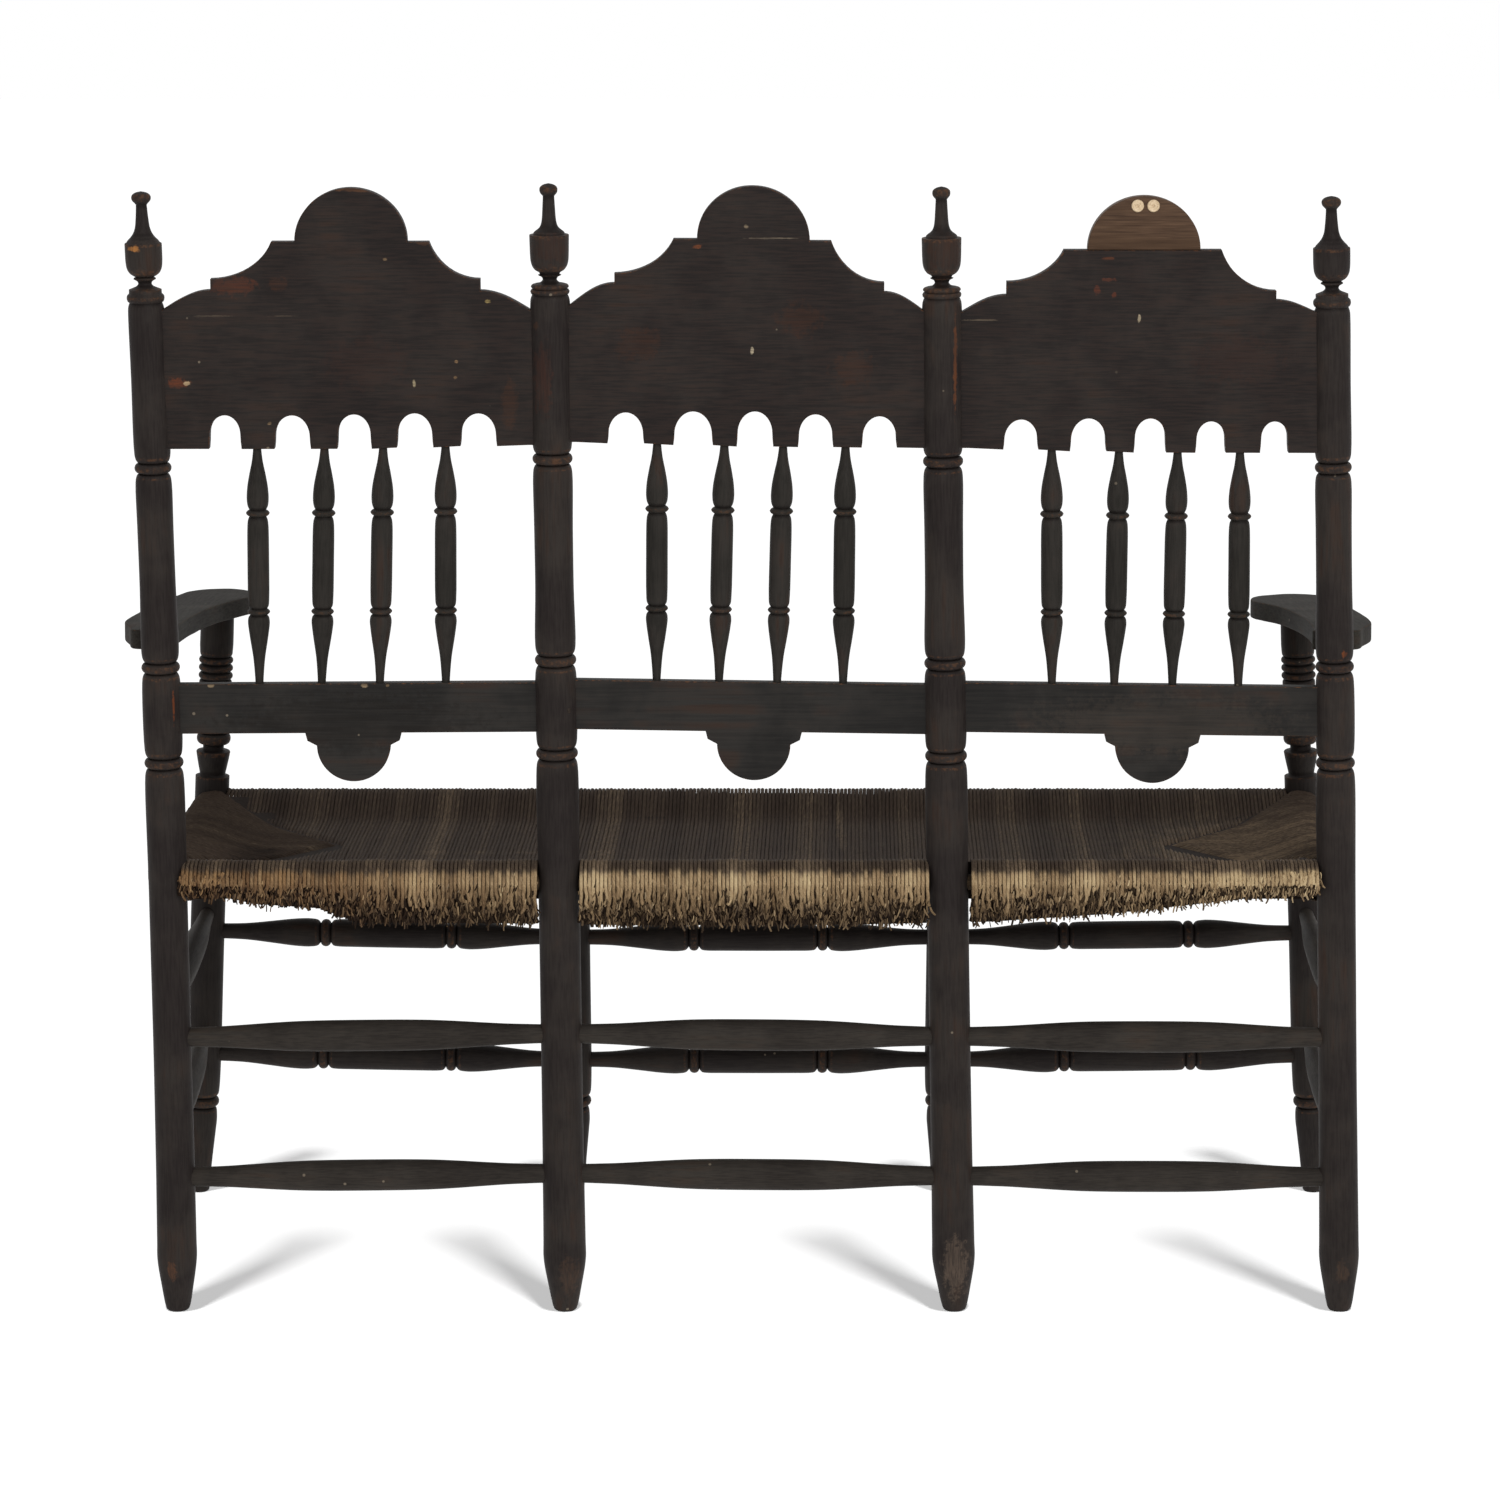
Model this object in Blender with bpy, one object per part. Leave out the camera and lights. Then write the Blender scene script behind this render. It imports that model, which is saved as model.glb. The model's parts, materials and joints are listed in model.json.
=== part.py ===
"""A banister-back settee of three bays: turned posts, shaped boards, spindles, arms and a rush seat.

Metres, +Z up. The sitter faces -Y, and the sitter's left is +X. Every joint is a tenon in a mortise."""

import math

import bmesh
import bpy
from mathutils import Matrix, Vector

# Fits
clearance = 0.0003
overrun = 0.004
tenon_depth = 0.012
rail_tenon_depth = 0.011

# Plan: where each foot stands, the way the old frame leans, and the depth
bay = 0.401
rear_foot_shifts = (-0.0020, -0.0020, -0.0036, -0.0010)
front_feet = (0.6305, 0.2070, -0.2100, -0.6285)
seat_depth = 0.455
rear_rake_share = 0.0437
rear_lean_shares = (0.0070, 0.0065, 0.0200, 0.0325)
front_rake_share = 0.045
front_lean_shares = (-0.0550, 0.0, 0.0, 0.0510)

# Heights that follow one another from the seat up
seat_height = 0.455
seat_drop_to_front = 0.012
stay_above_seat = 0.155
stay_height = 0.051
spindle_length = 0.240
crest_end_height = 0.138
post_above_crest_ends = 0.007

# Rear posts, outer and inner
outer_upper_radius = 0.0180
outer_lower_radius = 0.0195
inner_upper_radius = 0.0197
inner_lower_radius = 0.0210
finial_height = 0.108
outer_finial_radius = 0.0180
inner_finial_radius = 0.0195
rear_height_gains = (0.001, 0.009, 0.006, -0.003)
lower_beads_below_stay = (0.0298, 0.0199, 0.0226, 0.0298)
upper_beads_below_crest = (0.0196, 0.0101, 0.0126, 0.0186)
arm_beads_above_stay = (0.0174, 0.0252, 0.0220, 0.0185)
bead_height = 0.008
bead_stand = 0.0006
groove_depth = 0.0026
groove_height = 0.004
foot_height = 0.055
foot_radius = 0.0118
foot_swell_share = 1.04

# Front posts and legs
front_radius = 0.0190
inner_leg_radius = 0.0205
arm_post_radius = 0.0178
arm_tenon_radius = 0.0090
cone_height = 0.0264
neck_radius = 0.0115
neck_height = 0.006
arm_post_foot_height = 0.006
collar_height = 0.025
collar_groove = 0.003
collar_above_rail = 0.013
arm_rings_below_stay = 0.014
arm_ring_spacing = 0.0088
leg_bead_height = 0.106
leg_vase_height = 0.092
leg_foot_radius = 0.0110
leg_tenon_radius = 0.0070
leg_tenon_length = 0.010

# Crest boards
crest_thickness = 0.015
dome_radius = 0.0557
dome_height = 0.0530
shelf_half_width = 0.0778
step_half_width = 0.1333
shelf_rise = 0.0675
step_rise = 0.0305
step_drop = 0.011
hollow_sweep = math.radians(70.0)
arch_radius = 0.0165
arch_height = 0.0345
arch_rise_share = 1.25
spindle_spacing = 0.0609
crest_shifts = (-0.0040, -0.0050, -0.0015)
shelf_shift = 0.0010
step_shifts = (0.0062, 0.0040, 0.0018)
arch_shifts = (-0.0042, -0.0066, -0.0108)
lobe_dowel_radius = 0.0030
lobe_dowel_length = 0.010
lobe_dowel_spacing = 0.060
disc_radius = 0.0062
disc_thickness = 0.0020
disc_pin_radius = 0.0012
disc_pin_length = 0.005
disc_spacing = 0.0155
disc_offset = 0.0006
disc_below_top = 0.0092

# Stay rails
stay_thickness = 0.0130
drop_half_width = 0.0485
drop_shoulder_depth = 0.008
drop_radius = 0.0370
drop_depth = 0.050
drop_shifts = (0.004, -0.0015, -0.0107)
peg_rises = {1: 0.0010, 2: -0.0080}
peg_radius = 0.0032
peg_length = 0.026
peg_from_tenon_tip = 0.0045

# Spindles and stretchers
spindle_radius = 0.0110
spindle_foot_shifts = (0.0045, 0.0023, -0.0035)
spindle_tenon_radius = 0.0040
back_stretcher_heights = (0.145, 0.294)
back_end_rises = (-0.0025, 0.0015, -0.0015, -0.0025)
back_stretcher_radius = 0.0160
back_stretcher_end_radius = 0.0098
front_stretcher_heights = (0.1545, 0.2965)
front_end_rises = (0.0065, -0.0010, -0.0010, 0.0040)
front_stretcher_radius = 0.0158
front_stretcher_end_radius = 0.0085
side_stretcher_front_heights = (0.184, 0.325)
side_stretcher_rear_heights = (0.185, 0.320)
side_stretcher_radius = 0.0135
side_stretcher_end_radius = 0.0080

# Arms
arm_thickness = 0.0195
arm_heights = {0: 0.7129, 3: 0.7121}
arm_fall_shares = {0: 0.0600, 3: 0.0705}
arm_overhang = 0.050
arm_outer_reach = 0.0505
arm_inner_reaches = {0: 0.0430, 3: 0.0530}
arm_scribe_depth = 0.010
arm_rear_tenon_radius = 0.0070

# Rush seat and the rails inside it
rail_radius = 0.0130
rail_tenon_radius = 0.0080
rail_shoulder_gap = 0.0012
side_rail_rise = 0.004
rush_rim = 0.0230
rush_core = 0.0120
rush_sag = 0.012
rush_blend = 0.090
rush_side_inset = 0.004
rush_belly = 0.018
rush_belly_blend = 0.320

# Profiles as shares: how far along, and how far out
finial_shares = (
    (0.000, 0.30), (0.030, 0.50), (0.070, 0.51), (0.120, 0.33), (0.290, 0.34), (0.335, 0.55),
    (0.380, 0.92), (0.440, 0.99), (0.600, 1.00), (0.700, 0.92), (0.780, 0.72), (0.825, 0.50),
    (0.850, 0.56), (0.880, 0.42), (0.910, 0.42), (0.935, 0.95), (0.985, 0.97), (1.000, 0.88),
)
spindle_shares = (
    (0.000, 0.37), (0.095, 0.70), (0.165, 0.96), (0.215, 1.00), (0.245, 0.78), (0.268, 1.02),
    (0.288, 0.80), (0.310, 0.96), (0.640, 0.94), (0.665, 0.80), (0.690, 1.00), (0.710, 0.80),
    (0.745, 1.00), (0.815, 0.80), (0.890, 0.55), (1.000, 0.37),
)
arch_place_shares = (2.11, 1.01, 0.0, -0.99, -2.03)
spindle_top_shares = (1.60, 0.50, -0.46, -1.48)
spindle_foot_shares = (1.53, 0.50, -0.46, -1.55)
arch_width_shares = (
    (0.92, 1.04, 0.98, 1.04, 1.04), (1.04, 1.13, 1.04, 1.00, 1.00), (1.00, 1.04, 0.92, 0.86, 0.80),
)
arch_height_shares = (
    (0.957, 0.957, 0.986, 1.014, 1.014), (1.043, 1.072, 1.072, 0.986, 0.928),
    (0.838, 0.867, 0.867, 0.780, 0.780),
)
# How far each board of the racked back lies off its plain height, at its left, middle and right
crest_lifts = {
    "foot": ((-0.0007, -0.0007, 0.0033), (0.0063, 0.0018, 0.0003), (0.0003, -0.0043, -0.0048)),
    "end": ((0.0001, 0.0001, 0.0001), (0.0051, 0.0024, -0.0003), (-0.0016, -0.0016, -0.0016)),
    "shoulder": ((0.0003, 0.0001, -0.0001), (0.0074, 0.0029, -0.0016), (-0.0045, -0.0070, -0.0095)),
    "step": ((0.0003, 0.0003, 0.0003), (0.0060, 0.0014, -0.0031), (-0.0024, -0.0069, -0.0114)),
    "shelf": ((0.0002, 0.0002, 0.0002), (0.0029, 0.0019, 0.0009), (-0.0079, -0.0079, -0.0079)),
}
stay_lifts = ((0.0002, 0.0012, 0.0023), (0.0050, 0.0024, -0.0002), (0.0020, -0.0003, -0.0026))
swell_half_shares = ((0.00, 0.00), (0.10, 0.18), (0.24, 0.68), (0.38, 0.97))
ringed_half_shares = (
    (0.000, 0.00), (0.070, 0.12), (0.150, 0.55), (0.235, 1.00), (0.285, 0.80),
    (0.297, 0.30), (0.309, 0.95), (0.321, 0.30), (0.340, 0.86), (0.420, 0.96),
)
leg_vase_shares = ((0.10, 0.65), (0.45, 0.72), (0.80, 0.94))
cone_shares = ((0.00, 0.85), (1.00, 1.00))
rush_rim_shares = (0.0, 0.06, 0.30, 1.0)
shoulder_shares = (0.0, 0.35, 0.70, 1.0)
hollow_shares = (0.25, 0.50, 0.75, 1.0)
arm_outline_shares = (
    (0.000, 0.44), (0.080, 0.68), (0.190, 0.94), (0.300, 1.00), (0.430, 0.985), (0.560, 0.93),
    (0.710, 0.86), (0.850, 0.77), (0.910, 0.70), (0.955, 0.54), (0.988, 0.26), (1.000, -0.02),
    (0.985, -0.34), (0.945, -0.70), (0.890, -0.93), (0.805, -1.00), (0.730, -0.86), (0.670, -0.70),
    (0.590, -0.52), (0.480, -0.39), (0.370, -0.32), (0.240, -0.29), (0.060, -0.32), (0.000, -0.34),
)

post_sides = 10
spindle_sides = 8
stretcher_sides = 8
arc_steps = 10
outline_steps = 2

rear_names = ("left_outer", "left_inner", "right_inner", "right_outer")
bay_names = ("left", "centre", "right")
side_names = {0: "left", 3: "right"}

for old in list(bpy.data.objects):
    bpy.data.objects.remove(old, do_unlink=True)


def material(name, colour, roughness, metallic=0.0):
    made = bpy.data.materials.new(name)
    made.use_nodes = True
    shader = made.node_tree.nodes["Principled BSDF"]
    shader.inputs["Base Color"].default_value = (*colour, 1.0)
    shader.inputs["Roughness"].default_value = roughness
    shader.inputs["Metallic"].default_value = metallic
    return made


black_paint = (0.020, 0.018, 0.016)
worn_paint = (0.030, 0.026, 0.022)
bare_wood = (0.150, 0.085, 0.040)
dry_rush = (0.240, 0.170, 0.100)
bone_white = (0.780, 0.750, 0.660)


# Places on the frame
def rear_axis(post, height):
    """The middle of a rear post at a height above the floor."""
    foot = (1.5 - post) * bay + rear_foot_shifts[post]
    return Vector((foot + rear_lean_shares[post] * height, rear_rake_share * height, height))


def front_axis(post, height):
    """The middle of a front post or leg at a height above the floor."""
    x = front_feet[post] + front_lean_shares[post] * height
    return Vector((x, -seat_depth + front_rake_share * height, height))


def is_outer(post):
    return post in side_names


def upper_radius(post):
    return outer_upper_radius if is_outer(post) else inner_upper_radius


def lower_radius(post):
    return outer_lower_radius if is_outer(post) else inner_lower_radius


def leg_radius(post):
    return front_radius if is_outer(post) else inner_leg_radius


rake = math.atan(rear_rake_share)
stay_bottom = seat_height + stay_above_seat
stay_top = stay_bottom + stay_height
crest_bottom = stay_top + spindle_length
crest_end_top = crest_bottom + crest_end_height
shaft_top = crest_end_top + post_above_crest_ends
front_rail_height = seat_height - seat_drop_to_front


def back_plane(height):
    """The frame of a board in the raked back: X across, Y out behind, Z up the rake."""
    return Matrix.Translation((0.0, rear_rake_share * height, height)) @ Matrix.Rotation(-rake, 4, "X")


def up_rake(rise):
    return rise / math.cos(rake)


# Shapes added to a bmesh
def add_turning(bm, middle, across, rings, sides, slopes=None):
    """Rings round a line: middle(s) is a centre, across the two directions, rings the (s, radius) pairs."""
    loops = []
    for index, (along, radius) in enumerate(rings):
        centre = middle(along)
        slope = slopes[index] if slopes else 0.0
        loop = []
        for side in range(sides):
            angle = 2 * math.pi * (side + 0.5) / sides
            offset = across[0] * (radius * math.cos(angle)) + across[1] * (radius * math.sin(angle))
            lift = Vector((0.0, 0.0, slope * offset.y))
            loop.append(bm.verts.new(centre + offset + lift))
        loops.append(loop)
    for lower, upper in zip(loops, loops[1:]):
        for side in range(sides):
            following = (side + 1) % sides
            bm.faces.new((lower[side], lower[following], upper[following], upper[side]))
    bm.faces.new(list(reversed(loops[0])))
    bm.faces.new(loops[-1])


def add_rod(bm, start, end, rings, sides):
    """A turned rod from start to end, its rings square to it."""
    direction = (end - start).normalized()
    first = direction.orthogonal().normalized()
    across = (first, direction.cross(first))
    add_turning(bm, lambda along: start + direction * along, across, rings, sides)


def add_cylinder(bm, start, end, radius, sides):
    add_rod(bm, start, end, ((0.0, radius), ((end - start).length, radius)), sides)


def add_bore(bm, start, end, radius, sides):
    """A hole whose flat sides clear a round piece of this radius, however that piece is turned."""
    add_cylinder(bm, start, end, (radius + clearance) / math.cos(math.pi / sides), sides)


def add_board(bm, outline, thickness, place):
    """A flat board: its outline in X and Z, its thickness across Y, set in place."""
    faces = []
    for side in (-0.5, 0.5):
        corners = [bm.verts.new(place @ Vector((x, side * thickness, z))) for x, z in outline]
        faces.append(corners)
    near, far = faces
    bm.faces.new(near)
    bm.faces.new(list(reversed(far)))
    count = len(outline)
    for index in range(count):
        following = (index + 1) % count
        bm.faces.new((near[following], near[index], far[index], far[following]))


def rectangle(low_x, high_x, low_z, high_z):
    return [(low_x, low_z), (high_x, low_z), (high_x, high_z), (low_x, high_z)]


def arc(centre, radius, start, end, steps):
    """Points on a circle from start to end, in degrees, both ends kept."""
    points = []
    for step in range(steps + 1):
        angle = math.radians(start + (end - start) * step / steps)
        points.append((centre[0] + radius * math.cos(angle), centre[1] + radius * math.sin(angle)))
    return points


def smooth_closed(points, steps):
    """A closed curve through all the points, with steps points to each span."""
    count = len(points)
    curve = []
    for index in range(count):
        a, b, c, d = (Vector(points[(index + shift) % count]) for shift in (-1, 0, 1, 2))
        for step in range(steps):
            t = step / steps
            square = (2 * a - 5 * b + 4 * c - d) * t**2
            cube = (3 * b - a - 3 * c + d) * t**3
            curve.append(0.5 * (2 * b + (c - a) * t + square + cube))
    return curve


def object_from(bm, name, finish=None):
    bmesh.ops.recalc_face_normals(bm, faces=bm.faces)
    mesh = bpy.data.meshes.new(name)
    bm.to_mesh(mesh)
    bm.free()
    made = bpy.data.objects.new(name, mesh)
    bpy.context.scene.collection.objects.link(made)
    made.parent = settee
    if finish:
        mesh.materials.append(material(name, *finish))
        mesh.shade_smooth()
        mesh.set_sharp_from_angle(angle=math.radians(40))
    else:
        made.hide_render = True
        made.display_type = "WIRE"
    return made


def trim(piece, tool, operation="DIFFERENCE"):
    modifier = piece.modifiers.new(tool.name, "BOOLEAN")
    modifier.operation = operation
    modifier.solver = "EXACT"
    modifier.object = tool


settee = bpy.data.objects.new("settee", None)
bpy.context.scene.collection.objects.link(settee)

# What is cut from each post, filled in as the pieces that enter it are made
mortises = {}


def mortise_mesh(name):
    if name not in mortises:
        mortises[name] = bmesh.new()
    return mortises[name]


def bead(height, radius):
    """A turned bead between two grooves, from below up."""
    half = 0.5 * bead_height
    return [
        (height - half - groove_height, radius),
        (height - half, radius - groove_depth),
        (height, radius + bead_stand),
        (height + half, radius - groove_depth),
        (height + half + groove_height, radius),
    ]


# Rear posts
def rear_rings(post):
    lower = lower_radius(post)
    upper = upper_radius(post)
    calf_height = 0.5 * (foot_height + seat_height)
    rings = [(0.0, foot_radius), (foot_height, foot_swell_share * lower), (calf_height, lower)]
    rings += bead(stay_bottom - lower_beads_below_stay[post], lower)
    rings += bead(stay_top + arm_beads_above_stay[post], 0.5 * (lower + upper))
    rings += bead(crest_bottom - upper_beads_below_crest[post], upper)
    shoulder = shaft_top + rear_height_gains[post]
    rings.append((shoulder - bead_height, upper))
    finial_radius = outer_finial_radius if is_outer(post) else inner_finial_radius
    for share, out in reversed(finial_shares):
        rings.append((shoulder + finial_height * (1.0 - share), finial_radius * out))
    return rings


level = (Vector((1.0, 0.0, 0.0)), Vector((0.0, 1.0, 0.0)))
for post, name in enumerate(rear_names):
    bm = bmesh.new()
    add_turning(bm, lambda height: rear_axis(post, height), level, rear_rings(post), post_sides)
    object_from(bm, "rear_post_" + name, (black_paint, 0.45))


# Front posts, with the arm posts turned above the seat, and the shorter inner legs
def arm_top(post, y):
    return arm_heights[post] + arm_fall_shares[post] * y


def arm_joint(post):
    """Where the middle of the front post meets the arm's underside and its top."""
    along_axis = 1.0 - arm_fall_shares[post] * front_rake_share
    top = arm_top(post, front_axis(post, 0.0).y) / along_axis
    return top - arm_thickness / along_axis, top


def leg_rings(top, radius):
    vase = [(share * leg_vase_height, out * radius) for share, out in leg_vase_shares]
    return [(0.0, leg_foot_radius), *vase, *bead(leg_bead_height, radius), (top, radius)]


def front_post_rings(post):
    """The rings of a whole front post, and how far each slopes: the tenon and shoulder follow the arm."""
    under, top = arm_joint(post)
    collar_bottom = front_rail_height + collar_above_rail
    cone_bottom = collar_bottom + collar_height + collar_groove
    neck_bottom = cone_bottom + cone_height
    rings = leg_rings(collar_bottom - collar_groove, front_radius)
    rings += [(collar_bottom, front_radius), (collar_bottom + collar_height, front_radius)]
    rings += [(cone_bottom + share * cone_height, out * front_radius) for share, out in cone_shares]
    rings += [(neck_bottom + collar_groove, neck_radius), (neck_bottom + neck_height, neck_radius)]
    foot = neck_bottom + neck_height + collar_groove
    rings += bead(foot + arm_post_foot_height, arm_post_radius)[1:]
    first = stay_bottom - arm_rings_below_stay
    for ring in range(3):
        rings += bead(first + ring * arm_ring_spacing, arm_post_radius)[1:-1]
    shoulder = under - clearance
    rings += [(first + 3 * arm_ring_spacing, arm_post_radius), (shoulder, arm_post_radius)]
    rings += [(shoulder, arm_tenon_radius), (top - clearance, arm_tenon_radius)]
    slopes = [0.0] * (len(rings) - 3) + [arm_fall_shares[post]] * 3
    return rings, slopes


for post in side_names:
    bm = bmesh.new()
    rings, slopes = front_post_rings(post)
    add_turning(bm, lambda height: front_axis(post, height), level, rings, post_sides, slopes)
    object_from(bm, "front_post_" + side_names[post], (black_paint, 0.45))

leg_top = front_rail_height - rail_radius - clearance
for post, name in ((1, "left"), (2, "right")):
    bm = bmesh.new()
    rings = leg_rings(leg_top, inner_leg_radius)
    rings += [(leg_top, leg_tenon_radius), (leg_top + leg_tenon_length, leg_tenon_radius)]
    add_turning(bm, lambda height: front_axis(post, height), level, rings, post_sides)
    object_from(bm, "front_leg_inner_" + name, (black_paint, 0.45))


# Rods between two posts
def add_mortise(post_name, centre, direction, radius, tip, surface, sides):
    start = centre + direction * (tip - clearance)
    end = centre + direction * (surface + overrun)
    add_cylinder(mortise_mesh(post_name), start, end, radius + clearance, sides)


def rod_between(name, ends, body_rings, end_radius, depth, finish):
    """A rod whose two ends are tenons. ends holds (post name, axis point, post radius) for each end."""
    (first_name, first, first_radius), (last_name, last, last_radius) = ends
    direction = (last - first).normalized()
    start = first + direction * (first_radius - depth)
    end = last - direction * (last_radius - depth)
    visible = (end - start).length - 2 * depth
    rings = [(0.0, end_radius)]
    rings += [(depth + share * visible, radius) for share, radius in body_rings]
    rings.append(((end - start).length, end_radius))
    bm = bmesh.new()
    add_rod(bm, start, end, rings, stretcher_sides)
    made = object_from(bm, name, finish)
    for post_name, centre, inward, radius in (
        (first_name, first, direction, first_radius), (last_name, last, -direction, last_radius),
    ):
        add_mortise(post_name, centre, inward, end_radius, radius - depth, radius, stretcher_sides)
    return made


def mirrored(half_shares, end_radius, radius):
    """A rod's body, turned the same at both ends."""
    half = [(share, end_radius + (radius - end_radius) * out) for share, out in half_shares]
    return half + [(1.0 - share, out) for share, out in reversed(half)]


def rear_end(post, height):
    return ("rear_post_" + rear_names[post], rear_axis(post, height), lower_radius(post))


def front_end(post, height):
    inner_name = "front_leg_inner_" + ("left", "right")[post - 1 if post < 3 else 0]
    name = "front_post_" + side_names[post] if is_outer(post) else inner_name
    return (name, front_axis(post, height), leg_radius(post))


for row, row_name in enumerate(("lower", "upper")):
    for index, bay_name in enumerate(bay_names):
        posts = (index, index + 1)
        rod_between(
            f"back_stretcher_{row_name}_{bay_name}",
            [rear_end(post, back_stretcher_heights[row] + back_end_rises[post]) for post in posts],
            mirrored(swell_half_shares, back_stretcher_end_radius, back_stretcher_radius),
            back_stretcher_end_radius, tenon_depth, (worn_paint, 0.6),
        )
        rod_between(
            f"front_stretcher_{row_name}_{bay_name}",
            [front_end(post, front_stretcher_heights[row] + front_end_rises[post]) for post in posts],
            mirrored(ringed_half_shares, front_stretcher_end_radius, front_stretcher_radius),
            front_stretcher_end_radius, tenon_depth, (black_paint, 0.5),
        )
    for post, side in side_names.items():
        front = front_end(post, side_stretcher_front_heights[row])
        rear = rear_end(post, side_stretcher_rear_heights[row])
        rod_between(
            f"side_stretcher_{row_name}_{side}",
            (front, rear),
            mirrored(swell_half_shares, side_stretcher_end_radius, side_stretcher_radius),
            side_stretcher_end_radius, tenon_depth, (worn_paint, 0.6),
        )

# Seat rails, hidden in the rush
rails = []


def seat_rail(name, ends):
    shoulder = [(0.0, rail_tenon_radius), (0.0, rail_radius), (1.0, rail_radius), (1.0, rail_tenon_radius)]
    (first_name, first, first_radius), (last_name, last, last_radius) = ends
    gap = clearance + rail_shoulder_gap
    seated = ((first_name, first, first_radius + gap), (last_name, last, last_radius + gap))
    direction = (last - first).normalized()
    inset = direction * 2 * rail_shoulder_gap
    rails.append((first + direction * first_radius - inset, last - direction * last_radius + inset))
    return rod_between(name, seated, shoulder, rail_tenon_radius, rail_tenon_depth, (bare_wood, 0.7))


front_ends = [front_end(post, front_rail_height) for post in side_names]
front_rail = seat_rail("seat_rail_front", front_ends)
for index, bay_name in enumerate(bay_names):
    ends = [rear_end(post, seat_height) for post in (index, index + 1)]
    seat_rail("seat_rail_rear_" + bay_name, ends)
for post, side in side_names.items():
    rise = side_rail_rise
    ends = (front_end(post, front_rail_height + rise), rear_end(post, seat_height + rise))
    seat_rail("seat_rail_" + side, ends)

bm = bmesh.new()
for post in (1, 2):
    low = front_axis(post, leg_top - overrun)
    high = front_axis(post, leg_top + leg_tenon_length + clearance)
    add_bore(bm, low, high, leg_tenon_radius, post_sides)
trim(front_rail, object_from(bm, "cutter_leg_tenons"))


# The rush seat: one woven body round the rails, open where a post stands
def ease(share):
    share = min(max(share, 0.0), 1.0)
    return share * share * (3.0 - 2.0 * share)


rush_corners = {
    "front_left": front_axis(0, front_rail_height), "front_right": front_axis(3, front_rail_height),
    "rear_left": rear_axis(0, seat_height), "rear_right": rear_axis(3, seat_height),
}


def rush_edge(side, share):
    """The outer edge of the rush on one side, at a share of the way from front to rear."""
    reach = rush_rim - rush_side_inset
    outward = reach if side == "left" else -reach
    front = rush_corners["front_" + side].x
    rear = rush_corners["rear_" + side].x
    return front + (rear - front) * share + outward


def rush_point(across, along, width, depth, upper):
    """One point of the seat's top or underside: across from the right edge, along from the front edge."""
    share = along / depth
    left, right = rush_edge("left", share), rush_edge("right", share)
    x = right + (left - right) * across / width
    y = rush_corners["front_left"].y - rush_rim + along
    inset = min(across, width - across, along, depth - along)
    if inset < rush_rim:
        half = math.sqrt(rush_rim**2 - (rush_rim - inset) ** 2)
    else:
        half = rush_rim + (rush_core - rush_rim) * ease((inset - rush_rim) / rush_blend)
    sag = rush_sag * ease((inset - rush_rim) / rush_blend)
    middle = front_rail_height + seat_drop_to_front * share - sag
    belly = rush_belly * ease(min(across, width - across) / rush_belly_blend) * min(1.0, inset / rush_rim)
    return Vector((x, y, middle + (half if upper else -half - belly)))


def grid_lines(length, interior):
    insets = [share * rush_rim for share in rush_rim_shares] + [rush_rim + 0.5 * rush_blend]
    first = rush_rim + rush_blend
    middle = [first + (length - 2 * first) * step / interior for step in range(interior + 1)]
    return insets + middle + [length - inset for inset in reversed(insets)]


def rush_mesh():
    bm = bmesh.new()
    depth = rush_corners["rear_left"].y - rush_corners["front_left"].y + 2 * rush_rim
    width = rush_edge("left", 0.0) - rush_edge("right", 0.0)
    columns, rows = grid_lines(width, 6), grid_lines(depth, 2)
    sheets = []
    for upper in (True, False):
        sheet = []
        for j, along in enumerate(rows):
            line = []
            for i, across in enumerate(columns):
                on_rim = i in (0, len(columns) - 1) or j in (0, len(rows) - 1)
                if on_rim and not upper:
                    line.append(sheets[0][j][i])
                else:
                    line.append(bm.verts.new(rush_point(across, along, width, depth, upper)))
            sheet.append(line)
        sheets.append(sheet)
    for sheet in sheets:
        for j in range(len(rows) - 1):
            for i in range(len(columns) - 1):
                bm.faces.new((sheet[j][i], sheet[j][i + 1], sheet[j + 1][i + 1], sheet[j + 1][i]))
    return bm


rush = object_from(rush_mesh(), "rush_seat", (dry_rush, 0.9))
slot_low = seat_height - 2 * rush_rim - rush_sag - rush_belly
slot_high = seat_height + 2 * rush_rim

bm = bmesh.new()
for first, last in rails:
    add_cylinder(bm, first, last, rail_radius + clearance, stretcher_sides)
trim(rush, object_from(bm, "cutter_rail_channels"))


def post_slot(name, axis, post, radius, outward_x, outward_y):
    """Clears the rush round a post, and outside it where the weave stops."""
    bm = bmesh.new()
    ends = (axis(post, slot_low), axis(post, slot_high))
    add_bore(bm, ends[0], ends[1], radius, post_sides)
    post_cut = object_from(bm, name + "_post")
    bm = bmesh.new()
    centre = axis(post, seat_height)
    reach = 2 * rush_rim
    half = 0.0 if outward_x else radius
    low_x, high_x = sorted((centre.x - half, centre.x + half + outward_x * reach))
    outline = rectangle(low_x, high_x, slot_low, slot_high)
    place = Matrix.Translation((0.0, centre.y + outward_y * 0.5 * reach, 0.0))
    add_board(bm, outline, reach, place)
    corner_cut = object_from(bm, name + "_corner")
    trim(rush, post_cut)
    trim(rush, corner_cut)


for post, outward in enumerate((1.0, 0.0, 0.0, -1.0)):
    post_slot(f"cutter_rush_rear_{post}", rear_axis, post, lower_radius(post), outward, 1.0)
    if is_outer(post):
        post_slot(f"cutter_rush_front_{post}", front_axis, post, front_radius, outward, -1.0)

bm = bmesh.new()
for post in (1, 2):
    ends = (front_axis(post, slot_low), front_axis(post, front_rail_height))
    add_bore(bm, *ends, inner_leg_radius, post_sides)
trim(rush, object_from(bm, "cutter_rush_legs"))


# Boards of the back
def bay_centre(index, height):
    return 0.5 * (rear_axis(index, height).x + rear_axis(index + 1, height).x)


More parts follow.
